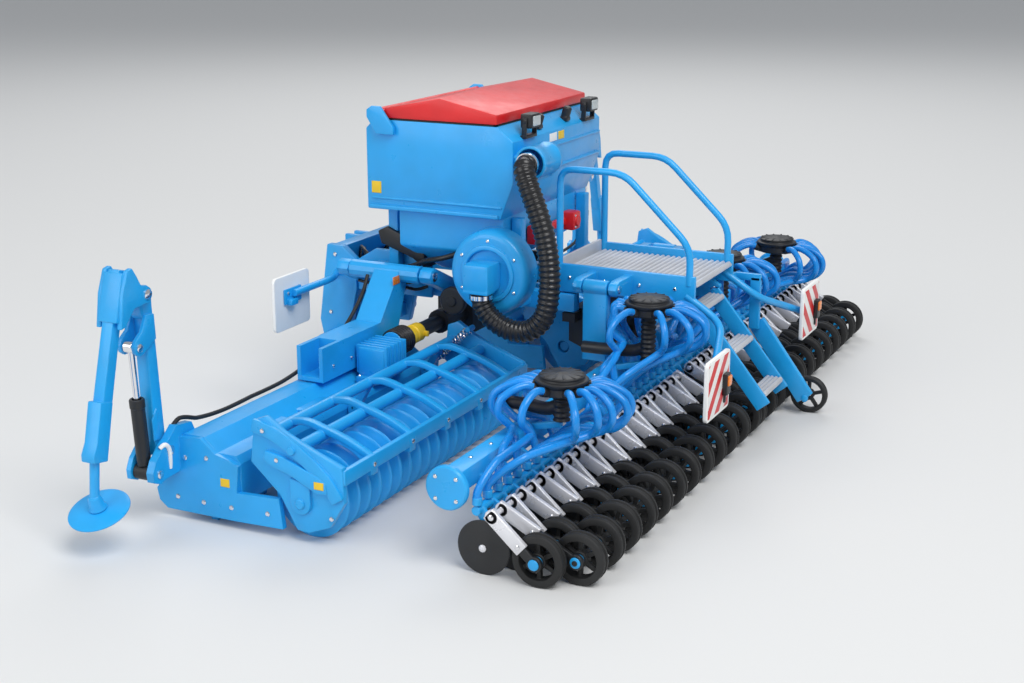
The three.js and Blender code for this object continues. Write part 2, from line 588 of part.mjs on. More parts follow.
function wingArmBody() {
  const [y0, y1] = [arm.y - arm.width / 2, arm.y + arm.width / 2];
  const outer = facePlate([
    [arm.knee, armLow], [arm.end, armLow], [arm.end, arm.top], [arm.knee + 2, arm.top],
    [wingHinge.x + 1.6, wingHinge.z + 1], [wingHinge.x - 1.6, wingHinge.z + 1], [wingHinge.x - 1.6, wingHinge.z - 2],
    [arm.knee - 5, armLow + 3],
  ], y0, y1);
  const hollow = block([arm.end - 7, y0 + arm.wall, armLow + arm.wall], [arm.end + 1, y1 - arm.wall, arm.top + 1]);
  const pin = rod([wingHinge.x, wingHinge.front + gap, wingHinge.z], [wingHinge.x, wingHinge.rear - gap, wingHinge.z],
    wingHinge.radius, 12);
  return outer.subtract(hollow).add(pin);
}

/** Two cheeks on the trough's outer end, with the pins of the marker arm and of its ram between them. */
function markerClevis() {
  const [px, pz, bx, bz] = [marker.pivotX, marker.pivotZ, ram.lowX, ram.lowZ];
  const inner = marker.depth / 2 + gap;
  const outer = inner + marker.cheek;
  const lobe = [
    [bx - 1.7, bz - 1.4], [bx, bz - 1.9], [bx + 1.7, bz - 1.2], [bx + 1.9, bz + 0.6], [bx + 0.9, bz + 2.6],
    [px + 1.7, pz + 1.4], [px + 0.4, pz + 2.1],
  ];
  const rearCheek = facePlate([
    [halfWidth - 6, trough.beamTop - 3], [halfWidth - weld, 9.6], ...lobe, [halfWidth + 0.5, trough.beamTop + 1.6],
    [halfWidth - 4, trough.beamTop + 1],
  ], marker.y + inner, marker.y + outer + 0.6);
  const frontCheek = facePlate([...lobe, [px - 1.4, pz + 1.4], [px - 1.5, pz - 1]], marker.y - inner, marker.y - outer);
  const pins = [[px, pz, marker.pin], [bx, bz, ram.pin]].map(([x, z, radius]) => rod(
    [x, marker.y - inner - weld, z], [x, marker.y + inner + weld, z], radius, 8,
  ));
  return join([rearCheek, frontCheek, ...pins]);
}

function troughBody() {
  const t = trough;
  const body = sidePlate([
    [t.front, t.floor], [t.rear, t.floor], [t.rear, t.top - 1.4], [t.rear - 1, t.top], [t.beamRear + 3, t.top],
    [t.beamRear, t.beamTop - 0.4], [t.front + 2.4, t.beamTop - 0.4], [t.front, t.beamTop - 2.4],
  ], wingStart + gap, halfWidth - endPlate.thick + weld);
  const ends = [wingStart, halfWidth - endPlate.thick].map((x) => sidePlate([
    [-77.5, 1.6], [-62, 1.6], [-51.6, 1.9], [-52.3, 7.6], [-61.5, 7.2], [-61, 12.4], [-63.3, 13.4], [-66, 14],
    [-69.3, 16.6], [-74, 16.2], [-76, 14], [-76.4, 9.6], [-79.8, 5.3], [-79.3, 3],
  ], x, x + endPlate.thick));
  return join([body, ...ends, markerClevis()]);
}

function tinesBody() {
  const first = wingStart + tines.margin;
  const pitch = (halfWidth - wingStart - 2 * tines.margin) / (tines.count - 1);
  const y = (trough.front + trough.rear) / 2;
  const topZ = trough.floor - gap;
  const pieces = [block([first - 3, y - 1.6, topZ - tines.plate], [halfWidth - tines.margin + 3, y + 1.6, topZ])];
  for (let i = 0; i < tines.count; i += 1) {
    const x = first + i * pitch;
    for (const side of [-1, 1]) {
      pieces.push(block([x + side * tines.reach - 0.5, y - tines.blade, 0],
        [x + side * tines.reach + 0.5, y + tines.blade, topZ - 0.4]));
    }
  }
  return join(pieces);
}

const boxFloor = trough.top + gap;

function gearboxBody() {
  const g = gearbox;
  const flange = block([g.x - g.length / 2 - 1, g.y - g.width / 2 + 0.6, boxFloor],
    [g.x + g.length / 2 + 1, g.y + g.width / 2 - 1.6, boxFloor + g.flange]);
  const pieces = [flange];
  const top = boxFloor + g.flange + g.height;
  pieces.push(block([g.x - g.length / 2, g.y - g.width / 2 + g.finProud, boxFloor + g.flange - weld],
    [g.x + g.length / 2, g.y + g.width / 2 - g.finProud, top - g.finProud]));
  for (let i = 0; i < g.fins; i += 1) {
    const x = g.x - g.length / 2 + g.fin + (i * (g.length - 2 * g.fin)) / (g.fins - 1);
    pieces.push(block([x - g.fin / 2, g.y - g.width / 2, boxFloor + g.flange + 0.4],
      [x + g.fin / 2, g.y + g.width / 2, top]));
  }
  return join(pieces);
}

function shaftBody() {
  const start = gearbox.x - gearbox.length / 2 - gap;
  return turned([
    [shaft.split + gap, 0], [shaft.split + gap, shaft.guard], [start - shaft.bellowsLength, shaft.guard],
    [start - shaft.bellowsLength, shaft.bellows - 0.6], [start, shaft.bellows], [start, 0],
  ], shaft.y, shaft.z, 16);
}

/** The middle gearbox with a half shaft to each side, split where the wings fold. */
function centreDriveBody() {
  const s = shaft;
  const shafts = turned([
    [-s.split, 0], [-s.split, s.guard], [-s.split + s.coverFromSplit, s.guard],
    [-s.split + s.coverFromSplit, s.bellows - 0.4], [s.split - s.coverFromSplit, s.bellows - 0.4],
    [s.split - s.coverFromSplit, s.guard], [s.split, s.guard], [s.split, 0],
  ], s.y, s.z, 16);
  const casing = block([-s.casingHalf, s.y - 5, s.z - 4.4], [s.casingHalf, s.y + 4, rail.z - crossHalf - gap]);
  return shafts.add(casing);
}

place('centre_drive', centreDriveBody(), paint.black, [0, shaft.y, shaft.z]);
placePair('wing_arm', wingArmBody(), paint.blue, [wingHinge.x, arm.y, wingHinge.z]);
placePair('harrow_trough', troughBody(), paint.blue, [wingStart, trough.front, trough.floor]);
placePair('harrow_tines', tinesBody(), paint.blue, [wingStart, trough.front, 0]);
placePair('gearbox', gearboxBody(), paint.blue, [gearbox.x, gearbox.y, boxFloor]);
placePair('drive_shaft', shaftBody(), paint.yellow, [shaft.split, shaft.y, shaft.z]);

function rollerFrameBody() {
  const f = rollerFrame;
  const outline = [
    [-58, 14], [-57, 22], [-54.5, 23], [-50.5, 20.4], [-44, 17.6], [-38.6, 15.6], [-38.4, 9], [-41.5, 4],
    [-46, 2.2], [-48.5, 2.4], [-52, 8.6],
  ];
  const pieces = [wingStart + endPlate.thick + gap, halfWidth - f.plate].map((x) => sidePlate(outline, x, x + f.plate)
    .subtract(rod([x - 1, roller.y, roller.z], [x + f.plate + 1, roller.y, roller.z], roller.stub + gap, 12)));
  const [x0, x1] = [wingStart + endPlate.thick + gap + weld, halfWidth - weld];
  pieces.push(rod([x0, f.tubeY, f.tubeZ], [x1, f.tubeY, f.tubeZ], f.tube, 8));
  pieces.push(rod([x0, f.linkY, f.linkZ], [x1, f.linkY, f.linkZ], f.tube, 8));
  pieces.push(block([x0, f.barY - f.bar / 2 + 0.2, f.barZ - 1.6], [x1, f.barY + f.bar / 2 - 0.6, f.barZ + 1.2]));
  for (let i = 0; i < f.arches; i += 1) {
    const x = wingStart + f.archMargin + (i * (halfWidth - wingStart - 2 * f.archMargin)) / (f.arches - 1);
    pieces.push(strip([x, f.tubeY, f.tubeZ - 0.2], [x, f.barY, f.barZ + 0.4], f.archWidth, f.archThick));
    pieces.push(strip([x, f.linkY, f.linkZ], [x, f.tubeY, f.tubeZ], f.archWidth, f.archThick));
  }
  for (const x of [wingStart + f.bracketMargin, arm.end, halfWidth - f.bracketMargin]) {
    pieces.push(block([x - f.archWidth / 2, trough.rear + gap, trough.top - f.bracketHeight],
      [x + f.archWidth / 2, trough.rear + gap + f.bracketThick, trough.top]));
    pieces.push(strip([x, trough.rear + gap + 1.2, trough.top - 1.6], [x, f.linkY, f.linkZ], f.archWidth, 1.6));
  }
  return join(pieces);
}

function rollerBody() {
  const innerFace = wingStart + endPlate.thick + gap + rollerFrame.plate;
  const outerFace = halfWidth - rollerFrame.plate;
  const start = innerFace + gap;
  const end = outerFace - gap;
  const pitch = (end - start) / roller.rings;
  const profile = [[innerFace - 0.7, 0], [innerFace - 0.7, roller.stub], [start, roller.stub], [start, roller.drum]];
  for (let i = 0; i < roller.rings; i += 1) {
    const x = start + pitch * (i + 0.5);
    profile.push([x, roller.ring], [x + pitch / 2, roller.drum]);
  }
  profile.push([end, roller.stub], [outerFace + 0.7, roller.stub], [outerFace + 0.7, 0]);
  return turned(profile, roller.y, roller.z, roller.sides);
}

placePair('roller_frame', rollerFrameBody(), paint.blue, [wingStart, rollerFrame.tubeY, rollerFrame.tubeZ]);
placePair('packer_roller', rollerBody(), paint.blue, [wingStart, roller.y, roller.z]);

// ---------------------------------------------------------------- row markers

/** A hole or a pin along Y through the marker's plane. */
const crossPin = (x, z, half, radius, sides = 8) => rod(
  [x, marker.y - half, z], [x, marker.y + half, z], radius, sides,
);

function markerArmBody() {
  const m = marker;
  const half = m.depth / 2;
  const beamPart = strip([m.pivotX, m.y, m.pivotZ], [m.topX, m.y, m.topZ], m.depth, m.width, [0, 1, 0]);
  const foot = crossPin(m.pivotX, m.pivotZ, half, m.width / 2, 12);
  const head = facePlate([
    [m.topX - 1.5, m.topZ - 4], [m.topX - 1.5, m.topZ], [m.kneeX - 0.6, m.kneeZ + 1.5], [m.kneeX + 1, m.kneeZ + 1],
    [m.kneeX + 1.5, m.kneeZ - 0.4], [m.topX + 1.5, m.topZ - 4],
  ], m.y - half, m.y + half);
  const gussets = [-1, 1].map((side) => facePlate([
    [m.topX - 1.2, ram.eyeZ + 0.6], [m.topX - 1, ram.eyeZ + 5.5], [m.topX + 1.4, ram.eyeZ + 5.5],
    [ram.eyeX - 0.8, ram.eyeZ + 2.6], [ram.eyeX + 0.8, ram.eyeZ + 1.4], [ram.eyeX + 1.3, ram.eyeZ - 0.6],
    [ram.eyeX + 0.2, ram.eyeZ - 1.7], [ram.eyeX - 1.4, ram.eyeZ - 1.4],
  ], m.y + side * (half - weld), m.y + side * (half + 0.6)).subtract(crossPin(ram.eyeX, ram.eyeZ, half + 1, ram.pin, 8)));
  const holes = crossPin(m.pivotX, m.pivotZ, half + 1, m.pin + gap).add(crossPin(m.kneeX, m.kneeZ, half + 1, m.pin + gap));
  return join([beamPart, foot, head]).subtract(holes).add(join(gussets));
}

function markerOuterBody() {
  const m = marker;
  const half = m.depth / 2;
  const linkHalf = half + gap + m.cheek;
  const tubeTop = [m.outerTopX, m.y, m.outerTopZ];
  const boxTube = strip(tubeTop, [m.sleeveX, m.y, m.sleeveZ], m.depth, m.width, [0, 1, 0]);
  const link = facePlate([
    [m.kneeX - 1.5, m.kneeZ - 0.5], [m.kneeX - 0.9, m.kneeZ + 1.3], [m.kneeX + 0.9, m.kneeZ + 1.8],
    [m.outerTopX - 2, m.outerTopZ - 2], [m.outerTopX - 1, m.outerTopZ], [m.outerTopX + 2.2, m.outerTopZ - 4],
    [m.outerTopX + 3.2, m.outerTopZ - 10], [m.outerTopX - 0.6, m.outerTopZ - 7], [m.kneeX + 0.6, m.kneeZ - 1.6],
    [m.kneeX - 0.6, m.kneeZ - 1.6],
  ], m.y - linkHalf, m.y + linkHalf).subtract(crossPin(m.kneeX, m.kneeZ, half + gap, m.kneeRoom, 12));
  const pin = crossPin(m.kneeX, m.kneeZ, linkHalf - weld, m.pin, 8);
  const sleeve = facePlate([
    [m.sleeveX - 1.9, m.sleeveZ + 1.2], [m.sleeveX + 1.9, m.sleeveZ + 2], [m.endX + 1, m.endZ + 3.4],
    [m.endX + m.sleeveWidth - 1.9, m.endZ + 1.6], [m.endX + m.sleeveWidth - 1.9, m.endZ], [m.endX - 1.9, m.endZ - 0.6],
  ], m.y - half - 0.2, m.y + half + 0.2);
  const lean = THREE.MathUtils.degToRad(m.discLean);
  const along = (t) => [m.discX + t * Math.sin(lean), m.y, m.discZ + t * Math.cos(lean)];
  const hubStart = m.discThick / 2 + gap;
  const hub = rod(along(hubStart), along(hubStart + m.hubLength), m.hub, 8);
  const spindle = rod([m.endX, m.y, m.endZ + 1], along(hubStart + m.hubLength - 1), m.spindle, 10);
  return join([boxTube, link, pin, sleeve, spindle, hub]);
}

function markerDiscBody() {
  const lean = THREE.MathUtils.degToRad(marker.discLean);
  const at = (t) => [marker.discX + t * Math.sin(lean), marker.y, marker.discZ + t * Math.cos(lean)];
  return rod(at(-marker.discThick / 2), at(marker.discThick / 2), marker.disc, 24);
}

const ramAxis = new THREE.Vector2(ram.eyeX - ram.lowX, ram.eyeZ - ram.lowZ).normalize();
const ramAt = (t) => [ram.lowX + ramAxis.x * t, marker.y, ram.lowZ + ramAxis.y * t];

function barrelBody() {
  const bore = rod(ramAt(ram.shoulder), ramAt(ram.length + 1), ram.rod + gap, 8);
  const foot = crossPin(ram.lowX, ram.lowZ, ram.barrel, ram.barrel + 0.3);
  return rod(ramAt(0), ramAt(ram.length), ram.barrel, 12).add(foot).subtract(bore)
    .subtract(crossPin(ram.lowX, ram.lowZ, ram.barrel + 1, ram.pin + gap));
}

function ramRodBody() {
  const length = Math.hypot(ram.eyeX - ram.lowX, ram.eyeZ - ram.lowZ);
  return rod(ramAt(ram.shoulder + gap + ram.stroke), ramAt(length), ram.rod, 8)
    .add(crossPin(ram.eyeX, ram.eyeZ, marker.depth / 2 - weld - gap, ram.eye));
}

placePair('marker_arm', markerArmBody(), paint.blue, [marker.pivotX, marker.y, marker.pivotZ]);
placePair('marker_outer_arm', markerOuterBody(), paint.blue, [marker.kneeX, marker.y, marker.kneeZ]);
placePair('marker_disc', markerDiscBody(), paint.blue, [marker.discX, marker.y, marker.discZ]);
placePair('marker_barrel', barrelBody(), paint.black, ramAt(0));
placePair('marker_rod', ramRodBody(), paint.silver, ramAt(0));

// ---------------------------------------------------------------- seed wings

const rowX = (row) => rowSpacing * (row + 0.5);

function seedBarBody() {
  const s = seedBar;
  const half = s.size / 2;
  const pieces = [block([s.start, s.y - half, s.z - half], [s.end, s.y + half, s.z + half])];
  for (const x of [s.start, s.end - 1.4]) {
    pieces.push(rod([x, s.y - 0.5, s.z - 1], [x + 1.4, s.y - 0.5, s.z - 1], 4.4, 12));
  }
  for (let row = 1; row < rowsPerSide - 1; row += 2) {
    const x = rowX(row) + rowSpacing / 2;
    pieces.push(strip([x, s.y, s.z - 0.5], [x, coulter.shaftY - 0.4, coulter.shaftZ + coulter.shaft + 1.3], 1, 2));
  }
  const upX = seedHinge.x;
  pieces.push(block([upX - 1.2, seedHinge.front + seedHinge.lugLength + gap, s.z + half - weld],
    [upX + 1.2, seedHinge.rear - seedHinge.lugLength - gap, seedHinge.z]));
  pieces.push(rod([upX, seedHinge.front + seedHinge.lugLength + gap, seedHinge.z],
    [upX, seedHinge.rear - seedHinge.lugLength - gap, seedHinge.z], seedHinge.radius, 12));
  for (const x of [head.innerX, head.outerX]) {
    pieces.push(strip([x, s.y + 0.5, s.z + half - 0.4], [x, head.y, head.foot - gap - 0.6], 1, 1.2));
  }
  return join(pieces);
}

/** One disc with its arm up to the pivot shaft, as a side outline. */
function coulterOutline(discY) {
  const c = coulter;
  const outline = [];
  for (let i = 0; i < c.sides; i += 1) {
    const turn = ((i + 0.5) / c.sides) * 2 * Math.PI;
    outline.push([discY - c.radius * Math.sin(turn), c.z + c.radius * Math.cos(turn)]);
  }
  outline.push([c.shaftY + 0.4, c.shaftZ + 0.6], [c.shaftY - 0.5, c.shaftZ - 0.6]);
  return outline;
}

function coultersBody() {
  const c = coulter;
  const pieces = [strip([rowX(0) - 0.6, c.shaftY, c.shaftZ], [rowX(rowsPerSide - 1) + 0.6, c.shaftY, c.shaftZ],
    c.shaft * 2, c.shaft * 2, [0, 0, 1])];
  for (let row = 0; row < rowsPerSide; row += 1) {
    const x = rowX(row);
    pieces.push(sidePlate(coulterOutline(row % 2 ? c.frontY : c.rearY), x - c.thick / 2, x + c.thick / 2));
  }
  return join(pieces);
}

/** Arms of both gangs: each ends in a pad just above the axle, beside its wheel. */
function pressArmsBody() {
  const p = pressArm;
  const padZ = pressWheel.radius + pressWheel.axle + gap;
  const first = rowX(0) + rowSpacing / 2;
  const last = rowX(rowsPerSide - 1) + rowSpacing / 2;
  const pieces = [strip([first - 0.6, p.headY, p.headZ], [last + p.thick / 2, p.headY, p.headZ],
    p.pin * 2, p.pin * 2, [0, 0, 1])];
  for (let x = first; x < last + 0.1; x += rowSpacing) {
    const row = Math.round(x / rowSpacing) - 1;
    const axleY = row % 2 ? pressWheel.frontY : pressWheel.rearY;
    pieces.push(sidePlate([
      [p.headY - 1, p.headZ - 0.9], [axleY - 0.8, padZ], [axleY + 0.9, padZ], [axleY + 0.9, padZ + 1.7],
      [p.headY + 0.6, p.headZ + 1.2],
    ], x - p.thick / 2, x + p.thick / 2));
  }
  return join(pieces);
}

function pressWheelsBody(firstRow, axleY) {
  const w = pressWheel;
  const profile = [[rowX(firstRow) - w.width / 2, 0]];
  for (let row = firstRow; row < rowsPerSide; row += 2) {
    const [x0, x1] = [rowX(row) - w.width / 2, rowX(row) + w.width / 2];
    profile.push([x0, w.radius], [x1, w.radius], [x1, w.axle]);
    profile.push([row + 2 < rowsPerSide ? x1 + 2 * rowSpacing - w.width : x1 + 1.6, w.axle]);
  }
  profile.push([profile[profile.length - 1][0], 0]);
  return turned(profile, axleY, w.radius, w.sides);
}

function distributorBody(x, z, supplyX) {
  const h = head;
  const stem = rod([x, h.y, h.foot], [x, h.y, z], h.stem, 8);
  const cap = solid(new THREE.CylinderGeometry(h.cap - h.capTaper, h.cap, h.capHeight, 12).rotateX(Math.PI / 2)
    .translate(x, h.y, z + h.capHeight / 2));
  const supply = tube([
    [x, h.y, h.foot + 3], [x, h.y - 2.5, h.foot + 1.6], [supplyX, h.y - 7, h.foot + 1.4],
    [supplyX, h.y - h.supplyReach, h.foot + 1.2],
  ], h.supply, 6, 5);
  return join([stem, cap, supply]);
}

function seedHosesBody(x, z, firstRow) {
  const count = rowsPerSide / 2;
  const ringZ = z - gap;
  const ring = solid(new THREE.CylinderGeometry(head.cap - 0.5, head.cap - 0.5, seedHose.ring, 12).rotateX(Math.PI / 2)
    .translate(x, head.y, ringZ - seedHose.ring / 2))
    .subtract(rod([x, head.y, ringZ - 3], [x, head.y, ringZ + 1], head.stem + gap, 8));
  const pieces = [ring];
  const low = coulter.shaftZ + coulter.shaft + gap;
  for (let i = 0; i < count; i += 1) {
    const row = firstRow + i;
    const rear = row % 2 === 0 ? 1 : -1;
    const swing = Math.acos((rowX(row) - x) / seedHose.spread) * rear;
    const at = (r, height) => [x + r * Math.cos(swing), head.y + r * Math.sin(swing), height];
    const [bendX, bendY] = at(seedHose.reach, 0);
    const fallX = rowX(row) + 0.15 * (bendX - rowX(row));
    pieces.push(tube([
      at(head.cap - 1.2, ringZ - 0.9), at(seedHose.reach * 0.75, ringZ - 0.4), at(seedHose.reach * 1.05, ringZ - 3.4),
      [fallX, (coulter.shaftY + bendY) / 2 + 0.6, (ringZ + low) / 2],
      [rowX(row), coulter.shaftY, low + 2], [rowX(row), coulter.shaftY, low],
    ], seedHose.radius, seedHose.sides, seedHose.steps));
  }
  return join(pieces);
}

placePair('seed_bar', seedBarBody(), paint.blue, [seedHinge.x, seedBar.y, seedHinge.z]);
placePair('coulters', coultersBody(), paint.black, [wingStart, coulter.shaftY, coulter.shaftZ]);
placePair('press_arms', pressArmsBody(), paint.silver, [wingStart, pressArm.headY, pressArm.headZ]);
placePair('press_wheels_front', pressWheelsBody(1, pressWheel.frontY), paint.rubber,
  [wingStart, pressWheel.frontY, pressWheel.radius]);
placePair('press_wheels_rear', pressWheelsBody(0, pressWheel.rearY), paint.rubber,
  [wingStart, pressWheel.rearY, pressWheel.radius]);
placePair('distributor_inner', distributorBody(head.innerX, head.innerZ, head.innerX + head.supplyShift),
  paint.black, [head.innerX, head.y, head.innerZ]);
placePair('distributor_outer', distributorBody(head.outerX, head.outerZ, head.outerX - head.supplyShift),
  paint.black, [head.outerX, head.y, head.outerZ]);
placePair('seed_hoses_inner', seedHosesBody(head.innerX, head.innerZ, 0), paint.hoseBlue,
  [head.innerX, head.y, head.innerZ]);
placePair('seed_hoses_outer', seedHosesBody(head.outerX, head.outerZ, rowsPerSide / 2), paint.hoseBlue,
  [head.outerX, head.y, head.outerZ]);

// ---------------------------------------------------------------- final origin: bottom centre of the box

const box = new THREE.Box3().setFromObject(machine);
const middle = box.getCenter(new THREE.Vector3());
machine.position.set(-middle.x, -middle.y, -box.min.z);
const model = new THREE.Group();
model.add(machine);

export default model;
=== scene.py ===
"""Looks of a 1:32 scale model seed drill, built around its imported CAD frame.

Lengths are in millimetres until a mesh is finished. +X is the machine's left, -Y its front, +Z up,
and the origin is on the ground under the middle of the model.
"""

from __future__ import annotations

import logging
import math
import sys
from collections.abc import Callable, Sequence
from dataclasses import dataclass
from enum import Enum

import bmesh
import bpy
from mathutils import Matrix, Vector


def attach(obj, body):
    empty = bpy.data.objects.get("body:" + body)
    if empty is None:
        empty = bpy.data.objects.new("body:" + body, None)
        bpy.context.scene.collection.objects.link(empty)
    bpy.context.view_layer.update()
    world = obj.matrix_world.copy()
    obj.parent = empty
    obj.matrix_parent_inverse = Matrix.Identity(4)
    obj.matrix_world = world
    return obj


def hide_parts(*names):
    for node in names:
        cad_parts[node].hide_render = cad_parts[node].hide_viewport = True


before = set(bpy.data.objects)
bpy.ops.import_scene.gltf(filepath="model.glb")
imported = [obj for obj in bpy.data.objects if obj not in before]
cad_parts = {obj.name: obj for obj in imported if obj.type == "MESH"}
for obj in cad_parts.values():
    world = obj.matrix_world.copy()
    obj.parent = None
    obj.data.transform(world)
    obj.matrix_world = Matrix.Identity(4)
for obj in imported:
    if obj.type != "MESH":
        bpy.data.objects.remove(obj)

MM = 0.001
ACROSS, BACK, UP = (1, 0, 0), (0, 1, 0), (0, 0, 1)
LOG = logging.getLogger("seed_drill")
Point = tuple[float, float, float]
Flat = tuple[float, float]


class Slot(Enum):
    """The names of the material slots."""

    BLUE = "blue_paint"
    RED = "red_paint"
    BLACK = "black_plastic"
    RUBBER = "black_rubber"
    GREY = "grey_tread"
    SILVER = "silver_paint"
    STEEL = "bright_steel"
    YELLOW = "yellow_plastic"
    WHITE = "white_board"
    HOSE = "blue_hose"


class Pattern(Enum):
    """What, if anything, is drawn over a finish's base colour."""

    PLAIN = "plain"
    STRIPES = "stripes"


class Side(Enum):
    """The two halves of the machine."""

    LEFT = 1
    RIGHT = -1

    @property
    def label(self) -> str:
        """The ending of a piece's or body's name."""
        return self.name.lower()


class Axis(Enum):
    """The direction in which an outline is given thickness."""

    X = 0
    Y = 1
    Z = 2


# ---------------------------------------------------------------- finishes


class Graph:
    """Short-hand for laying out shader nodes."""

    def __init__(self, tree: bpy.types.NodeTree) -> None:
        """Take the node tree to fill.

        Args:
            tree: The node tree of a material or world.
        """
        self.tree = tree

    def node(self, kind: str, **settings: object) -> bpy.types.Node:
        """Add one node.

        Args:
            kind: The node's type name.
            **settings: Properties to set on it.

        Returns:
            The new node.
        """
        made = self.tree.nodes.new(kind)
        for key, value in settings.items():
            setattr(made, key, value)
        return made

    def link(self, source: bpy.types.NodeSocket, target: bpy.types.NodeSocket) -> None:
        """Join an output to an input."""
        self.tree.links.new(source, target)

    def noise(self, place: bpy.types.NodeSocket, size: float,
              detail: float = 3.0) -> bpy.types.NodeSocket:
        """Add a noise texture.

        Args:
            place: The coordinates it is read at, in metres.
            size: The size of its blotches in millimetres.
            detail: How many finer layers it has.

        Returns:
            The noise value, from 0 to 1.
        """
        made = self.node("ShaderNodeTexNoise")
        made.inputs["Scale"].default_value = 1 / (size * MM)
        made.inputs["Detail"].default_value = detail
        self.link(place, made.inputs["Vector"])
        return made.outputs["Fac"]

    def spread(self, value: bpy.types.NodeSocket, source: Flat,
               target: Flat) -> bpy.types.NodeSocket:
        """Map a value from one range to another, kept inside it.

        Args:
            value: The value to map.
            source: The range it comes from.
            target: The range it goes to.

        Returns:
            The mapped value.
        """
        made = self.node("ShaderNodeMapRange")
        for key, number in zip(("From Min", "From Max", "To Min", "To Max"), (*source, *target)):
            made.inputs[key].default_value = number
        self.link(value, made.inputs["Value"])
        return made.outputs["Result"]

    def math(self, operation: str, first: bpy.types.NodeSocket,
             second: object) -> bpy.types.NodeSocket:
        """Work out one sum.

        Args:
            operation: The name of the operation.
            first: Its first value.
            second: Its second value, a socket or a number.

        Returns:
            The result.
        """
        made = self.node("ShaderNodeMath", operation=operation)
        self.link(first, made.inputs[0])
        if isinstance(second, bpy.types.NodeSocket):
            self.link(second, made.inputs[1])
        else:
            made.inputs[1].default_value = second
        return made.outputs[0]

    def mix(self, share: bpy.types.NodeSocket, first: object,
            second: object) -> bpy.types.NodeSocket:
        """Mix two colours.

        Args:
            share: How much of the second colour there is.
            first: The first colour, a socket or three numbers.
            second: The second colour, a socket or three numbers.

        Returns:
            The mixed colour.
        """
        made = self.node("ShaderNodeMix", data_type="RGBA")
        self.link(share, made.inputs[0])
        for index, colour in ((6, first), (7, second)):
            if isinstance(colour, bpy.types.NodeSocket):
                self.link(colour, made.inputs[index])
            else:
                made.inputs[index].default_value = (*colour, 1.0)
        return made.outputs[2]


@dataclass(frozen=True)
class Finish:
    """One surface finish: paint, moulded plastic, rubber or metal.

    Sizes are in millimetres. Wear shows the edge colour where a surface turns sharply.
    """

    name: str
    slot: Slot
    colour: Point
    roughness: float
    metallic: float = 0.0
    coat: float = 0.0
    specular: float = 0.5
    mottle: float = 0.07
    mottle_size: float = 9.0
    grain: float = 0.25
    grain_size: float = 0.35
    rounding: float = 0.22
    edge: Point = (0.5, 0.7, 0.9)
    wear: float = 0.35
    pattern: Pattern = Pattern.PLAIN
    second: Point = (0.62, 0.015, 0.02)
    pitch: float = 5.6

    def material(self) -> bpy.types.Material:
        """Build the node material, once.

        Returns:
            The material.
        """
        known = bpy.data.materials.get(self.name)
        if known:
            return known
        made = bpy.data.materials.new(self.name)
        made.use_nodes = True
        graph = Graph(made.node_tree)
        shader = made.node_tree.nodes["Principled BSDF"]
        place = graph.node("ShaderNodeTexCoord").outputs["Object"]

        rounded = graph.node("ShaderNodeBevel", samples=4)
        rounded.inputs["Radius"].default_value = self.rounding * MM
        turn = graph.node("ShaderNodeVectorMath", operation="DOT_PRODUCT")
        graph.link(rounded.outputs["Normal"], turn.inputs[0])
        graph.link(graph.node("ShaderNodeNewGeometry").outputs["Normal"], turn.inputs[1])
        patches = graph.noise(place, self.mottle_size * 0.35, 5.0)
        at_edge = graph.spread(turn.outputs["Value"], (0.985, 0.86), (0.0, 1.0))
        worn = graph.math("MULTIPLY", at_edge, graph.spread(
            patches, (0.42, 0.62), (0.0, self.wear)))

        broad = graph.noise(place, self.mottle_size, 3.0)
        dark = tuple(channel * (1 - self.mottle) for channel in self.colour)
        light = tuple(min(1.0, channel * (1 + self.mottle)) for channel in self.colour)
        base = graph.mix(graph.spread(broad, (0.3, 0.7), (0.0, 1.0)), dark, light)
        if self.pattern is Pattern.STRIPES:
            base = graph.mix(self._stripes(graph, place), base, self.second)
        graph.link(graph.mix(worn, base, self.edge), shader.inputs["Base Color"])

        low, high = max(0.03, self.roughness - 0.07), min(1.0, self.roughness + 0.09)
        graph.link(graph.spread(patches, (0.3, 0.7), (low, high)), shader.inputs["Roughness"])
        bump = graph.node("ShaderNodeBump")
        bump.inputs["Strength"].default_value = self.grain
        bump.inputs["Distance"].default_value = 0.04 * MM
        graph.link(graph.noise(place, self.grain_size, 2.0), bump.inputs["Height"])
        graph.link(rounded.outputs["Normal"], bump.inputs["Normal"])
        graph.link(bump.outputs["Normal"], shader.inputs["Normal"])

        shader.inputs["Metallic"].default_value = self.metallic
        shader.inputs["Specular IOR Level"].default_value = self.specular
        shader.inputs["Coat Weight"].default_value = self.coat
        shader.inputs["Coat Roughness"].default_value = 0.12
        return made

    def _stripes(self, graph: Graph, place: bpy.types.NodeSocket) -> bpy.types.NodeSocket:
        """Diagonal warning stripes across X and Z.

        Args:
            graph: The node layout.
            place: The coordinates in metres.

        Returns:
            1 on a stripe and 0 between stripes.
        """
        parts = graph.node("ShaderNodeSeparateXYZ")
        graph.link(place, parts.inputs[0])
        across = graph.math("ABSOLUTE", parts.outputs["X"], 0.0)
        slant = graph.math("ADD", across, parts.outputs["Z"])
        turns = graph.math("DIVIDE", slant, self.pitch * MM)
        return graph.spread(graph.math("FRACT", turns, 0.0), (0.49, 0.51), (0.0, 1.0))


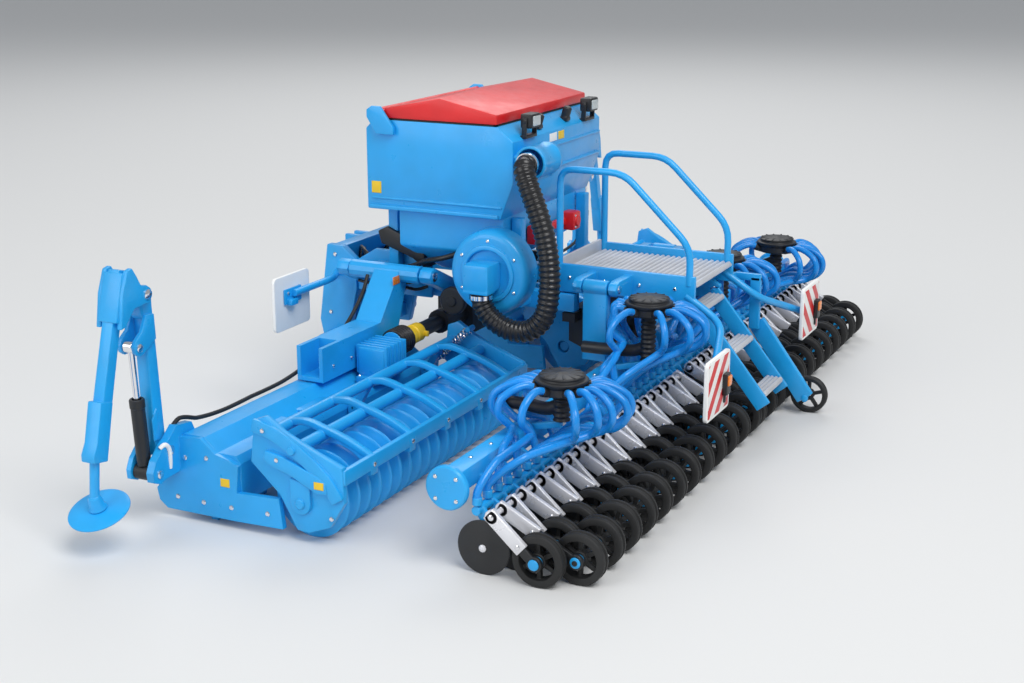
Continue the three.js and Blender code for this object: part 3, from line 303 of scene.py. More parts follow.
BLUE = Finish("sky_blue_paint", Slot.BLUE, (0.013, 0.365, 0.80), 0.34, coat=0.2,
              edge=(0.08, 0.52, 0.9), wear=0.45)
RED = Finish(
    "signal_red_paint", Slot.RED, (0.70, 0.012, 0.014), 0.36, coat=0.12, edge=(0.8, 0.1, 0.08))
BLACK = Finish(
    "moulded_black", Slot.BLACK, (0.013, 0.014, 0.016), 0.42, edge=(0.06, 0.06, 0.065), mottle=0.25)
RUBBER = Finish(
    "soft_rubber", Slot.RUBBER, (0.012, 0.0125, 0.013), 0.6, edge=(0.05, 0.05, 0.05), mottle=0.3,
    grain=0.45)
GREY = Finish("tread_grey", Slot.GREY, (0.6, 0.61, 0.64), 0.4, metallic=0.25,
              edge=(0.75, 0.75, 0.77), mottle=0.1)
SILVER = Finish(
    "silver_lacquer", Slot.SILVER, (0.76, 0.76, 0.79), 0.3, metallic=0.35, edge=(0.92, 0.92, 0.94))
STEEL = Finish(
    "bright_steel", Slot.STEEL, (0.72, 0.72, 0.74), 0.18, metallic=1.0, edge=(0.9, 0.9, 0.9),
    grain=0.1)
YELLOW = Finish("guard_yellow", Slot.YELLOW, (0.86, 0.56, 0.02), 0.4, edge=(0.95, 0.8, 0.3))
WHITE = Finish(
    "board_white", Slot.WHITE, (0.9, 0.9, 0.88), 0.45, edge=(0.95, 0.95, 0.95), mottle=0.04)
STRIPED = Finish(
    "board_stripes", Slot.WHITE, (0.82, 0.82, 0.8), 0.38, mottle=0.03, pattern=Pattern.STRIPES,
    wear=0.0)
HOSE = Finish("hose_blue", Slot.HOSE, (0.008, 0.26, 0.74), 0.24, edge=(0.1, 0.5, 0.95), mottle=0.1,
              grain=0.15)
GLOSS = Finish(
    "gloss_rubber", Slot.RUBBER, (0.010, 0.010, 0.011), 0.26, edge=(0.03, 0.03, 0.03), mottle=0.2,
    grain=0.15)
ORANGE = Finish("lamp_orange", Slot.YELLOW, (0.85, 0.22, 0.01), 0.25, coat=0.5, mottle=0.1)
LENS = Finish("lamp_lens", Slot.GREY, (0.5, 0.55, 0.55), 0.12, coat=0.6, mottle=0.12, grain=0.6,
              grain_size=0.6)


# ---------------------------------------------------------------- shapes


def _between(start: Point, end: Point) -> tuple[Matrix, float]:
    """A turn that lays the Z axis from start to end.

    Args:
        start: The first point.
        end: The second point.

    Returns:
        The matrix and the distance between the points.
    """
    first, along = Vector(start), Vector(end) - Vector(start)
    turn = along.to_track_quat("Z", "Y").to_matrix().to_4x4()
    return Matrix.Translation(first) @ turn, along.length


def smooth_path(points: Sequence[Point], step: float) -> list[Vector]:
    """A smooth curve through points, sampled evenly.

    Args:
        points: The points it passes through.
        step: The distance between samples.

    Returns:
        The samples, first and last point included.
    """
    knots = [Vector(point) for point in points]
    knots = [2 * knots[0] - knots[1], *knots, 2 * knots[-1] - knots[-2]]
    dense: list[Vector] = []
    for a, b, c, d in zip(knots, knots[1:], knots[2:], knots[3:]):
        marks = [0.0]
        for first, second in ((a, b), (b, c), (c, d)):
            marks.append(marks[-1] + math.sqrt(max(1e-6, (second - first).length)))
        count = max(8, int((c - b).length / 0.15))
        for i in range(count):
            t = marks[1] + (marks[2] - marks[1]) * i / count
            row = [a, b, c, d]
            for level in range(1, 4):
                row = [row[k].lerp(row[k + 1], (t - marks[k]) / (marks[k + level] - marks[k]))
                       for k in range(4 - level)]
            dense.append(row[0])
    dense.append(knots[-2])
    lengths = [0.0]
    for a, b in zip(dense, dense[1:]):
        lengths.append(lengths[-1] + (b - a).length)
    count = max(2, round(lengths[-1] / step))
    samples, at = [], 0
    for i in range(count + 1):
        wanted = lengths[-1] * i / count
        while at < len(dense) - 2 and lengths[at + 1] < wanted:
            at += 1
        share = (wanted - lengths[at]) / max(1e-9, lengths[at + 1] - lengths[at])
        samples.append(dense[at].lerp(dense[at + 1], min(1.0, max(0.0, share))))
    return samples


def filleted(points: Sequence[Point], radius: float) -> list[Vector]:
    """Round the corners of a bent rod's line.

    Args:
        points: Its corner points.
        radius: How far from each corner the bend starts.

    Returns:
        The points with three in place of each corner.
    """
    corners = [Vector(point) for point in points]
    line = [corners[0]]
    for before, corner, after in zip(corners, corners[1:], corners[2:]):
        reach = min(radius, (before - corner).length * 0.45, (after - corner).length * 0.45)
        start = corner + (before - corner).normalized() * reach
        end = corner + (after - corner).normalized() * reach
        for share in (0.0, 0.25, 0.5, 0.75, 1.0):
            line.append(start.lerp(corner, share).lerp(corner.lerp(end, share), share))
    line.append(corners[-1])
    return line


class Shape:
    """A piece's mesh under construction: closed parts, each with its edges eased."""

    def __init__(self) -> None:
        """Start with nothing."""
        self.mesh = bmesh.new()

    def _keep(self, part: bmesh.types.BMesh, ease: float, segments: int = 2) -> Shape:
        """Ease a part's sharp edges and add it.

        Args:
            part: The part, which is used up.
            ease: The width of the bevel, or 0.
            segments: The steps of the bevel.

        Returns:
            This shape.
        """
        bmesh.ops.recalc_face_normals(part, faces=part.faces)
        if ease > 0:
            sharp = [
                edge for edge in part.edges if edge.is_manifold and edge.calc_face_angle(0.0) > 0.6]
            bmesh.ops.bevel(part, geom=sharp, offset=ease, segments=segments, profile=0.6,
                            affect="EDGES", clamp_overlap=True)
        carrier = bpy.data.meshes.new("carrier")
        part.to_mesh(carrier)
        part.free()
        self.mesh.from_mesh(carrier)
        bpy.data.meshes.remove(carrier)
        return self

    def block(self, low: Point, high: Point, ease: float = 0.2) -> Shape:
        """Add a box between two opposite corners.

        Args:
            low: One corner.
            high: The opposite corner.
            ease: The width of its eased edges.

        Returns:
            This shape.
        """
        part = bmesh.new()
        bmesh.ops.create_cube(part, size=1.0)
        first, second = Vector(low), Vector(high)
        size = second - first
        bmesh.ops.scale(part, vec=[abs(value) for value in size], verts=part.verts)
        bmesh.ops.translate(part, vec=(first + second) / 2, verts=part.verts)
        return self._keep(part, ease)

    def bar(self, start: Point, end: Point, size: Flat, side: Point = ACROSS,
            ease: float = 0.2) -> Shape:
        """Add a flat bar from one point to another.

        Args:
            start: The middle of one end.
            end: The middle of the other end.
            size: Its width along the side vector and its depth across it.
            side: The direction of its width.
            ease: The width of its eased edges.

        Returns:
            This shape.
        """
        first, along = Vector(start), Vector(end) - Vector(start)
        across = Vector(side).normalized()
        up = across.cross(along.normalized())
        turn = Matrix((across, along.normalized(), up)).transposed().to_4x4()
        part = bmesh.new()
        bmesh.ops.create_cube(part, size=1.0)
        bmesh.ops.scale(part, vec=(size[0], along.length, size[1]), verts=part.verts)
        bmesh.ops.transform(
            part, matrix=Matrix.Translation(first + along / 2) @ turn, verts=part.verts)
        return self._keep(part, ease)

    def rod(self, start: Point, end: Point, radius: float, sides: int = 24,
            ease: float = 0.12) -> Shape:
        """Add a round bar from one point to another.

        Args:
            start: The middle of one end.
            end: The middle of the other end.
            radius: Its radius.
            sides: The facets round it.
            ease: The width of its eased rims.

        Returns:
            This shape.
        """
        turn, length = _between(start, end)
        part = bmesh.new()
        bmesh.ops.create_cone(
            part, cap_ends=True, segments=sides, radius1=radius, radius2=radius, depth=length)
        bmesh.ops.translate(part, vec=(0, 0, length / 2), verts=part.verts)
        bmesh.ops.transform(part, matrix=turn, verts=part.verts)
        return self._keep(part, ease, 1)

    def turned(self, profile: Sequence[Flat], start: Point, towards: Point | None = None,
               sides: int = 48) -> Shape:
        """Add a body of revolution.

        Args:
            profile: Pairs of distance along the axis and radius; a last pair equal to the
                first closes a ring.
            start: The point of the axis from which distances are measured.
            towards: Another point of the axis, which otherwise runs along +X.
            sides: The facets round it.

        Returns:
            This shape.
        """
        turn, _ = _between(start, towards or (start[0] + 1, start[1], start[2]))
        part = bmesh.new()
        closed = profile[0] == profile[-1]
        pairs = profile[:-1] if closed else profile
        rings = []
        for along, radius in pairs:
            count = 1 if radius < 1e-6 else sides
            rings.append([part.verts.new(
                (radius * math.cos(2 * math.pi * i / sides),
                 radius * math.sin(2 * math.pi * i / sides), along)) for i in range(count)])
        following = rings[1:] + (rings[:1] if closed else [])
        for ring, after in zip(rings, following):
            for i in range(sides):
                corners = [ring[i % len(ring)], ring[(i + 1) % len(ring)],
                           after[(i + 1) % len(after)], after[i % len(after)]]
                face = list(dict.fromkeys(corners))
                if len(face) > 2:
                    part.faces.new(face)
        if not closed:
            for ring in (rings[0], rings[-1]):
                if len(ring) > 1:
                    part.faces.new(ring)
        bmesh.ops.transform(part, matrix=turn, verts=part.verts)
        return self._keep(part, 0.0)

    def slab(self, outline: Sequence[Flat], axis: Axis, low: float, high: float,
             ease: float = 0.2) -> Shape:
        """Add a plate of any outline.

        Args:
            outline: Its corners in the two axes other than the given one, in the order X, Y, Z.
            axis: The direction of its thickness.
            low: Where its thickness starts.
            high: Where its thickness ends.
            ease: The width of its eased edges.

        Returns:
            This shape.
        """
        part = bmesh.new()
        rings = []
        for level in (low, high):
            ring = []
            for corner in outline:
                values = list(corner)
                values.insert(axis.value, level)
                ring.append(part.verts.new(values))
            rings.append(ring)
        part.faces.new(rings[0])
        part.faces.new(rings[1])
        count = len(outline)
        for i in range(count):
            part.faces.new(
                (rings[0][i], rings[0][(i + 1) % count], rings[1][(i + 1) % count], rings[1][i]))
        return self._keep(part, ease)

    def funnel(self, levels: Sequence[tuple[Flat, Flat, float]], ease: float = 0.3) -> Shape:
        """Add a body with a rectangle at each of several heights.

        Args:
            levels: The low corner, the high corner and the height of each rectangle.
            ease: The width of its eased edges.

        Returns:
            This shape.
        """
        part = bmesh.new()
        rings = [
            [part.verts.new((x, y, z)) for x,
             y in (low, (high[0], low[1]), high, (low[0], high[1]))] for low, high, z in levels]
        for ring, after in zip(rings, rings[1:]):
            for i in range(4):
                part.faces.new((ring[i], ring[(i + 1) % 4], after[(i + 1) % 4], after[i]))
        part.faces.new(rings[0])
        part.faces.new(rings[-1])
        return self._keep(part, ease)

    def sweep(self, line: Sequence[Vector], radius: Callable[[float], float] | float,
              sides: int = 16) -> Shape:
        """Add a round tube along a sampled line.

        Args:
            line: The samples of its centre line.
            radius: Its radius, or a function of the distance along it.
            sides: The facets round it.

        Returns:
            This shape.
        """
        part = bmesh.new()
        at = radius if callable(radius) else (lambda _: radius)
        tangent = (line[1] - line[0]).normalized()
        across = tangent.orthogonal().normalized()
        rings, travelled = [], 0.0
        for i, point in enumerate(line):
            ahead = line[min(i + 1, len(line) - 1)] - line[max(i - 1, 0)]
            turn = tangent.rotation_difference(ahead.normalized())
            tangent = ahead.normalized()
            across = (turn @ across).normalized()
            up = tangent.cross(across)
            travelled += (point - line[i - 1]).length if i else 0.0
            size = at(travelled)
            rings.append([part.verts.new(
                point + size * (math.cos(2 * math.pi * k / sides) * across
                                + math.sin(2 * math.pi * k / sides) * up)) for k in range(sides)])
        for ring, after in zip(rings, rings[1:]):
            for k in range(sides):
                part.faces.new((ring[k], ring[(k + 1) % sides], after[(k + 1) % sides], after[k]))
        part.faces.new(rings[0])
        part.faces.new(rings[-1])
        return self._keep(part, 0.0)

    def bolt(self, at: Point, towards: Point, radius: float = 0.55, height: float = 0.4) -> Shape:
        """Add a domed screw head.

        Args:
            at: The middle of the face it sits on.
            towards: The direction in which it stands out.
            radius: Its radius.
            height: How far it stands out.

        Returns:
            This shape.
        """
        foot = Vector(at)
        out = Vector(towards).normalized()
        profile = [(-0.3, 0.0), (-0.3, radius), (height * 0.45, radius),
                   (height * 0.85, radius * 0.7), (height, 0.0)]
        return self.turned(profile, tuple(foot), tuple(foot + out), 12)

    def spokes(self, hub: Point, count: int, reach: Flat, size: Flat, ease: float,
               turned: float = 0.0) -> Shape:
        """Add the spokes of a wheel whose axle runs across the machine.

        Args:
            hub: The middle of the wheel.
            count: The number of spokes.
            reach: The radii at which they start and end.
            size: Their width and depth.
            ease: The width of their eased edges.
            turned: The angle of the first one from upright, in radians.

        Returns:
            This shape.
        """
        for i in range(count):
            turn = 2 * math.pi * i / count + turned
            way = Vector((0, math.sin(turn), math.cos(turn)))
            self.bar(*(tuple(Vector(hub) + way * radius) for radius in reach), size, ease=ease)
        return self

    def merge(self, other: Shape) -> Shape:
        """Take over the parts of another shape.

        Args:
            other: The other shape, which is used up.

        Returns:
            This shape.
        """
        return self._keep(other.mesh, 0.0)

    def _copy(self, flip: bool) -> Shape:
        """A second shape with the same parts, mirrored across the centre line if asked."""
        twin = Shape()
        twin.mesh.free()
        twin.mesh = self.mesh.copy()
        if flip:
            bmesh.ops.scale(twin.mesh, vec=(-1, 1, 1), verts=twin.mesh.verts)
            bmesh.ops.reverse_faces(twin.mesh, faces=twin.mesh.faces)
        return twin

    def make(self, name: str, body: str, finish: Finish, nodes: Sequence[str] = (),
             crease: float = 32.0) -> bpy.types.Object:
        """Turn the parts into a piece of the model.

        Args:
            name: The piece's name.
            body: The CAD body it rides on.
            finish: Its finish.
            nodes: The CAD nodes it stands for.
            crease: The angle in degrees above which an edge stays sharp.

        Returns:
            The piece.
        """
        data = bpy.data.meshes.new(name)
        bmesh.ops.scale(self.mesh, vec=(MM, MM, MM), verts=self.mesh.verts)
        self.mesh.to_mesh(data)
        self.mesh.free()
        data.polygons.foreach_set("use_smooth", [True] * len(data.polygons))
        data.set_sharp_from_angle(angle=math.radians(crease))
        data.materials.append(finish.material())
        piece = bpy.data.objects.new(name, data)
        bpy.context.scene.collection.objects.link(piece)
        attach(piece, body)
        if nodes:
            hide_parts(*nodes)
        LOG.info("%s rides on %s with %d faces", name, body, len(data.polygons))
        return piece

    def pair(self, name: str, body: str, finish: Finish, nodes: Sequence[str] = (),
             crease: float = 32.0) -> None:
        """Turn a left-hand shape into a left piece and its mirror image on the right.

        Args:
            name: The name of both pieces without the side's ending.
            body: The body's name, with braces where the side's ending goes.
            finish: Their finish.
            nodes: The CAD nodes they stand for, without the side's ending.
            crease: The angle in degrees above which an edge stays sharp.
        """
        for side in Side:
            twin = self._copy(side is Side.RIGHT)
            twin.make(f"{name}_{side.label}", body.format(side.label), finish,
                      [f"{node}_{side.label}" for node in nodes], crease)
        self.mesh.free()


def dress(finish: Finish, *names: str) -> None:
    """Give CAD nodes whose shape is right a finish.

    Args:
        finish: The finish.
        *names: The nodes' names; one ending in an underscore stands for both sides.
    """
    for name in names:
        for node in ([name + side.label for side in Side] if name.endswith("_") else [name]):
            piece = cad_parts[node]
            piece.data.materials.clear()
            piece.data.materials.append(finish.material())
            LOG.info("%s is dressed in %s", node, finish.name)


def cut(outer: Shape, inner: Shape, ease: float) -> Shape:
    """Hollow one shape with another and ease the edges that are left.

    Args:
        outer: The shape that stays.
        inner: The shape that is taken away.
        ease: The width of the eased edges.

    Returns:
        The hollowed shape.
    """
    pieces = []
    for shape in (outer, inner):
        data = bpy.data.meshes.new("cutting")
        shape.mesh.to_mesh(data)
        shape.mesh.free()
        pieces.append(bpy.data.objects.new("cutting", data))
        bpy.context.scene.collection.objects.link(pieces[-1])
    boolean = pieces[0].modifiers.new("cut", "BOOLEAN")
    boolean.operation, boolean.object, boolean.solver = "DIFFERENCE", pieces[1], "EXACT"
    result = bmesh.new()
    result.from_object(pieces[0], bpy.context.evaluated_depsgraph_get())
    for piece in pieces:
        data = piece.data
        bpy.data.objects.remove(piece)
        bpy.data.meshes.remove(data)
    bmesh.ops.dissolve_limit(result, angle_limit=0.01, verts=result.verts, edges=result.edges)
    return Shape()._keep(result, ease)


def band(line: Sequence[Flat], width: float) -> list[Flat]:
    """The outline of a flat strip of even width along a line.

    Args:
        line: The points of its middle.
        width: Its width.

    Returns:
        The outline's corners.
    """
    left, right = [], []
    for i, point in enumerate(line):
        before, after = line[max(i - 1, 0)], line[min(i + 1, len(line) - 1)]
        run, rise = after[0] - before[0], after[1] - before[1]
        length = math.hypot(run, rise)
        shift = (-rise / length * width / 2, run / length * width / 2)
        left.append((point[0] + shift[0], point[1] + shift[1]))
        right.append((point[0] - shift[0], point[1] - shift[1]))
    return left + right[::-1]


def arc(line: Sequence[Flat], step: float = 0.8) -> list[Flat]:
    """A smooth flat curve through points."""
    return [(point.x, point.y) for point in smooth_path([(x, y, 0) for x, y in line], step)]


def ribs(crest: float, depth: float, pitch: float, groove: float = -1.0) -> Callable[[float],
                                                                                     float]:
    """The radius of a ribbed tube as a function of the distance along it.

    Args:
        crest: The radius over a rib.
        depth: How far the grooves lie below the ribs.
        pitch: The distance from rib to rib.
        groove: Where the wave is cut off; above -1 the grooves are flat.

    Returns:
        The function.
    """

    def radius(travelled: float) -> float:
        """The radius at one distance."""
        wave = max(groove, math.cos(2 * math.pi * travelled / pitch))
        return crest - depth * (1 - wave) / (1 - groove)

    return radius


# ---------------------------------------------------------------- hopper and air supply


@dataclass
class Hopper:
    """The seed hopper with its lid, lamps and metering covers."""

    half: float = 23.0
    front: float = -37.1
    rear: float = -1.6
    skirt: float = 46.8
    top: float = 66.5
    wall: float = 1.0
    neck_half: float = 21.5
    neck_front: float = -30.1
    neck_rear: float = -4.6
    neck_low: float = 39.0
    outlet_half: float = 14.0
    outlet_front: float = -23.6
    outlet_rear: float = -13.6
    outlet_low: float = 33.0
    rear_slope: float = 54.8
    hinge: Flat = (-34.0, 68.0)
    lid_front: float = -32.4
    lid_rear: float = -5.4

    def build(self) -> None:
        """Make every piece of the hopper."""
        self.tank()
        self.lid()
        self.lamps()
        self.trim()
        self.covers()

    def _body(self, inset: float, top: float) -> Shape:
        """The tank's outside, or its inside when inset.

        Args:
            inset: How far inside the outer surface.
            top: The height at which it ends.

        Returns:
            The solid shape.
        """
        skirt = self.skirt + inset
        outline = [
            (self.front + inset, skirt), (self.neck_rear - inset, skirt),
            (self.rear - inset, self.rear_slope), (self.rear - inset, self.top - 3.0),
            (self.rear - 3.8 - inset, self.top), (self.rear - 3.8 - inset, top),
            (self.front + 2.0 + inset, top), (self.front + 2.0 + inset, self.top),
            (self.front + inset, self.top - 2.0)]
        if not inset:
            outline = [corner for i, corner in enumerate(outline) if i not in (4, 6)]
        return Shape().slab(outline, Axis.X, -self.half + inset, self.half - inset, 0.0)

    def tank(self) -> None:
        """The blue tank: an open box over a neck and a sloping outlet."""
        tank = cut(self._body(0.0, self.top), self._body(self.wall, self.top + 4), 0.45)
        tank.funnel([
            ((-self.neck_half, self.neck_front), (self.neck_half, self.neck_rear),
             self.skirt + 0.4),
            ((-self.neck_half, self.neck_front), (self.neck_half, self.neck_rear), self.neck_low),
            ((-self.outlet_half, self.outlet_front), (self.outlet_half, self.outlet_rear),
             self.outlet_low)], 0.5)
        for side in (-1, 1):
            tank.block((side * 22.8, self.front + 0.8, self.skirt + 0.2),
                       (side * 23.5, self.rear - 3.4, self.skirt + 1.1), 0.25)
            tank.block((side * 22.8, self.front + 1.4, self.skirt + 2.4),
                       (side * 23.25, self.rear - 2.6, self.skirt + 2.9), 0.15)
            y, z = self.hinge
            lug = [(y - 2.2, z + 0.6), (y - 2.2, z - 1.0), (y, z - 4.6), (y + 4.4, z - 4.6),
                   (y + 4.4, z - 3.0), (y + 1.2, z + 1.4), (y - 1.0, z + 1.4)]
            tank.slab(lug, Axis.X, side * 23.35, side * 24.2, 0.3)
            tank.block((side * 22.8, y - 0.6, z - 4.4), (side * 23.6, y + 4.0, z - 3.2), 0.2)
        for z in (self.rear_slope + 0.4, self.rear_slope + 5.2):
            tank.block((-self.half + 0.5, self.rear - 0.5, z),
                       (self.half - 0.5, self.rear + 0.35, z + 0.6), 0.28)
        tank.make("hopper_tank", "centre", BLUE, ["hopper"])

    def lid(self) -> None:
        """The red ridged lid, hollow underneath, hinged along its front edge."""
        floor, middle = self.top + 0.3, (self.lid_front + self.lid_rear) / 2
        outlines = []
        for inset in (0.0, 0.9):
            drop = 2.0 if inset else 0.0
            outlines.append([
                (self.lid_front + inset, floor - drop), (self.lid_rear - inset, floor - drop),
                (self.lid_rear - inset, floor + 2.1 - inset), (middle, floor + 4.9 - inset),
                (self.lid_front + inset, floor + 2.1 - inset)])
        outer = Shape().slab(outlines[0], Axis.X, -self.half, self.half, 0.0)
        inner = Shape().slab(outlines[1], Axis.X, -self.half + 0.9, self.half - 0.9, 0.0)
        lid = cut(outer, inner, 0.4)
        y, z = self.hinge
        lid.rod((-self.half - 0.9, y, z), (self.half + 0.9, y, z), 0.9, 28, 0.2)
        lid.block(
            (-self.half + 1, y, z - 0.4), (self.half - 1, self.lid_front + 0.3, z + 0.4), 0.15)
        lid.make("hopper_lid_sheet", "lid", RED, ["hopper_lid"])
        seal = Shape()
        low, high = self.top - 0.1, self.top + 0.26
        for y0, y1 in ((self.lid_front + 0.1, self.lid_front + 0.9),
                       (self.lid_rear - 0.9, self.lid_rear - 0.1)):
            seal.block((-self.half + 0.2, y0, low), (self.half - 0.2, y1, high), 0.05)
        for side in (-1, 1):
            seal.block((side * (self.half - 0.9), self.lid_front + 0.1, low),
                       (side * (self.half - 0.2), self.lid_rear - 0.1, high), 0.05)
        seal.make("hopper_seal", "centre", RUBBER)

    def lamps(self) -> None:
        """Two work lamps and two latch knobs on the sloping rear edge."""
        cases, lenses, knobs = Shape(), Shape(), Shape()
        for x in (-15.5, 15.5):
            cases.block((x - 2.2, -2.6, 65.7), (x + 2.2, 0.2, 68.8), 0.5)
            lenses.block((x - 1.7, -0.1, 66.2), (x + 1.7, 0.45, 68.3), 0.25)
            for side in (-1, 1):
                cases.bar((x + side * 2.5, -1.5, 64.0), (x + side * 2.5, -1.3, 68.0), (0.4, 1.1),
                          ease=0.12)
                cases.rod((x + side * 2.1, -1.3, 67.3), (x + side * 2.9, -1.3, 67.3), 0.4, 12, 0.08)
            cases.block((x - 2.7, -2.4, 63.6), (x + 2.7, -0.9, 64.3), 0.15)
        for x in (-6.5, 8.0):
            knobs.rod((x, -3.2, 65.0), (x, -2.4, 67.6), 1.0, 24, 0.3)
            knobs.block((x - 1.1, -4.4, 64.4), (x + 1.1, -2.2, 65.4), 0.3)
        cases.make("work_lamp_cases", "centre", BLACK)
        lenses.make("work_lamp_lenses", "centre", LENS)
        knobs.make("lid_latches", "centre", BLACK)

    def trim(self) -> None:
        """Blank labels on the tank."""
        white, yellow = Shape(), Shape()
        white.block((1.2, self.rear - 0.2, 61.2), (5.0, self.rear + 0.08, 63.0), 0.05)
        yellow.block((-2.6, self.rear - 0.2, 61.2), (0.4, self.rear + 0.08, 63.0), 0.05)
        for side in (-1, 1):
            yellow.block((side * 22.8, self.front + 1.2, self.skirt + 3.6),
                         (side * 23.08, self.front + 3.6, self.skirt + 6.2), 0.05)
        white.make("white_label", "centre", WHITE)
        yellow.make("yellow_labels", "centre", YELLOW)

    def covers(self) -> None:
        """The red covers of the two metering units, with a strap and screws."""
        covers, screws = Shape(), Shape()
        for side in (-1, 1):
            covers.block((side * 7, -4.3, 39.4), (side * 11, -0.9, 43.6), 0.6)
            covers.rod((side * 9, -1.1, 41.5), (side * 9, -0.55, 41.5), 1.3, 28, 0.2)
            for z in (40.2, 42.8):
                screws.bolt((side * 7.9, -0.95, z), BACK, 0.3, 0.25)
        covers.block((-9, -4.3, 40.7), (9, -3.1, 42.3), 0.2)
        covers.make("metering_cover_pair", "centre", RED, ["metering_covers"])
        screws.make("metering_screws", "centre", STEEL)


@dataclass
class AirSupply:
    """The fan, its corrugated hose and the intake canister behind the hopper."""

    axis_y: float = -5.1
    axis_z: float = 36.3
    radius: float = 9.1
    inner: float = 21.8
    face: float = 28.0
    elbow: float = 6.2
    outer: float = 34.0
    hose: float = 2.3
    ridge: float = 0.24
    ridge_pitch: float = 1.15
    canister: float = 3.5
    canister_at: Flat = (2.7, 59.6)

    def build(self) -> None:
        """Make every piece of the air supply."""
        self.fan()
        self.pipe()
        self.intake()

    def fan(self) -> None:
        """The round housing with its raised rim and the square elbow."""
        y, z, r = self.axis_y, self.axis_z, self.radius
        fan, screws = Shape(), Shape()
        fan.turned(
            [(self.inner, 0), (self.inner, r - 0.9), (self.inner + 0.3, r - 0.3),
             (self.inner + 0.9, r), (self.face - 1.5, r), (self.face - 0.7, r - 0.25),
             (self.face - 0.2, r - 0.8), (self.face, r - 1.5), (self.face, 6.2),
             (self.face + 0.45, 6.1), (self.face + 0.55, 5.9), (self.face + 0.55, 5.3),
             (self.face + 0.4, 5.1), (self.face - 0.2, 5.0), (self.face - 0.2, 0)], (0, y, z),
            sides=72)
        half = self.elbow / 2
        fan.block((self.face - 0.3, y - half, z - half), (self.outer, y + half, z + half), 1.0)
        fan.block((self.face + 2.1, y - half + 0.2, z - half - 0.15),
                  (self.outer - 0.1, y + half - 0.2, z - half + 0.8), 0.3)
        for i in range(6):
            turn = math.pi / 3 * (i + 0.5)
            screws.bolt((self.face - 0.05, y + 7.0 * math.cos(turn), z + 7.0 * math.sin(turn)),
                        ACROSS, 0.38, 0.3)
        fan.make("fan_case", "centre", BLUE, ["fan_housing"])
        screws.make("fan_screws", "centre", STEEL)

    def pipe(self) -> None:
        """The fat corrugated hose from the elbow up to the intake."""
        line = smooth_path([
            (31, -5.1, 32.9), (31, -5.1, 31.6), (31, -3.8, 28.8), (31, 0.4, 26), (30.8, 5.4, 25.8),
            (30.5, 8.8, 28.6), (30.1, 10, 33.5), (29.6, 9.8, 40), (29.1, 8.2, 47), (28.7, 5.8, 53),
            (28, 3.8, 57.2), (26.6, 2.7, 59.1), (24.3, 2.7, 59.6)], 0.16)
        Shape().sweep(line, ribs(self.hose, self.ridge, self.ridge_pitch, -0.6), 28).make(
            "fan_hose_skin", "centre", GLOSS, ["fan_hose"], 60.0)
        bands = Shape()
        for first, second in ((line[2], line[8]), (line[-8], line[-2])):
            bands.turned([(0, 2.25), (0, 2.5), (0.9, 2.5), (0.9, 2.25), (0, 2.25)], tuple(first),
                         tuple(second), 40)
        bands.make("fan_hose_clips", "centre", STEEL)

    def intake(self) -> None:
        """The intake canister, open towards the hose."""
        y, z = self.canister_at
        r = self.canister
        can = Shape().turned([
            (14, 0), (14, r - 1.1), (14.25, r - 0.5), (14.9, r - 0.15), (15.6, r - 0.1), (15.8, r),
            (16.5, r), (16.7, r - 0.12), (22.2, r - 0.12), (22.4, r), (23.9, r), (24, r - 0.12),
            (24, r - 0.4), (23.9, r - 0.55), (16, r - 0.55), (16, 0)], (0, y, z), sides=56)
        can.block((16, -1.9, z - 1.6), (21, y - r + 0.25, z + 1.6), 0.25)
        can.block((15.2, y - 1.2, z - r - 0.35), (23.4, y + 1.2, z - r + 0.5), 0.3)
        can.make("intake_can", "centre", BLUE, ["air_intake"])


# ---------------------------------------------------------------- centre frame, boards and platform


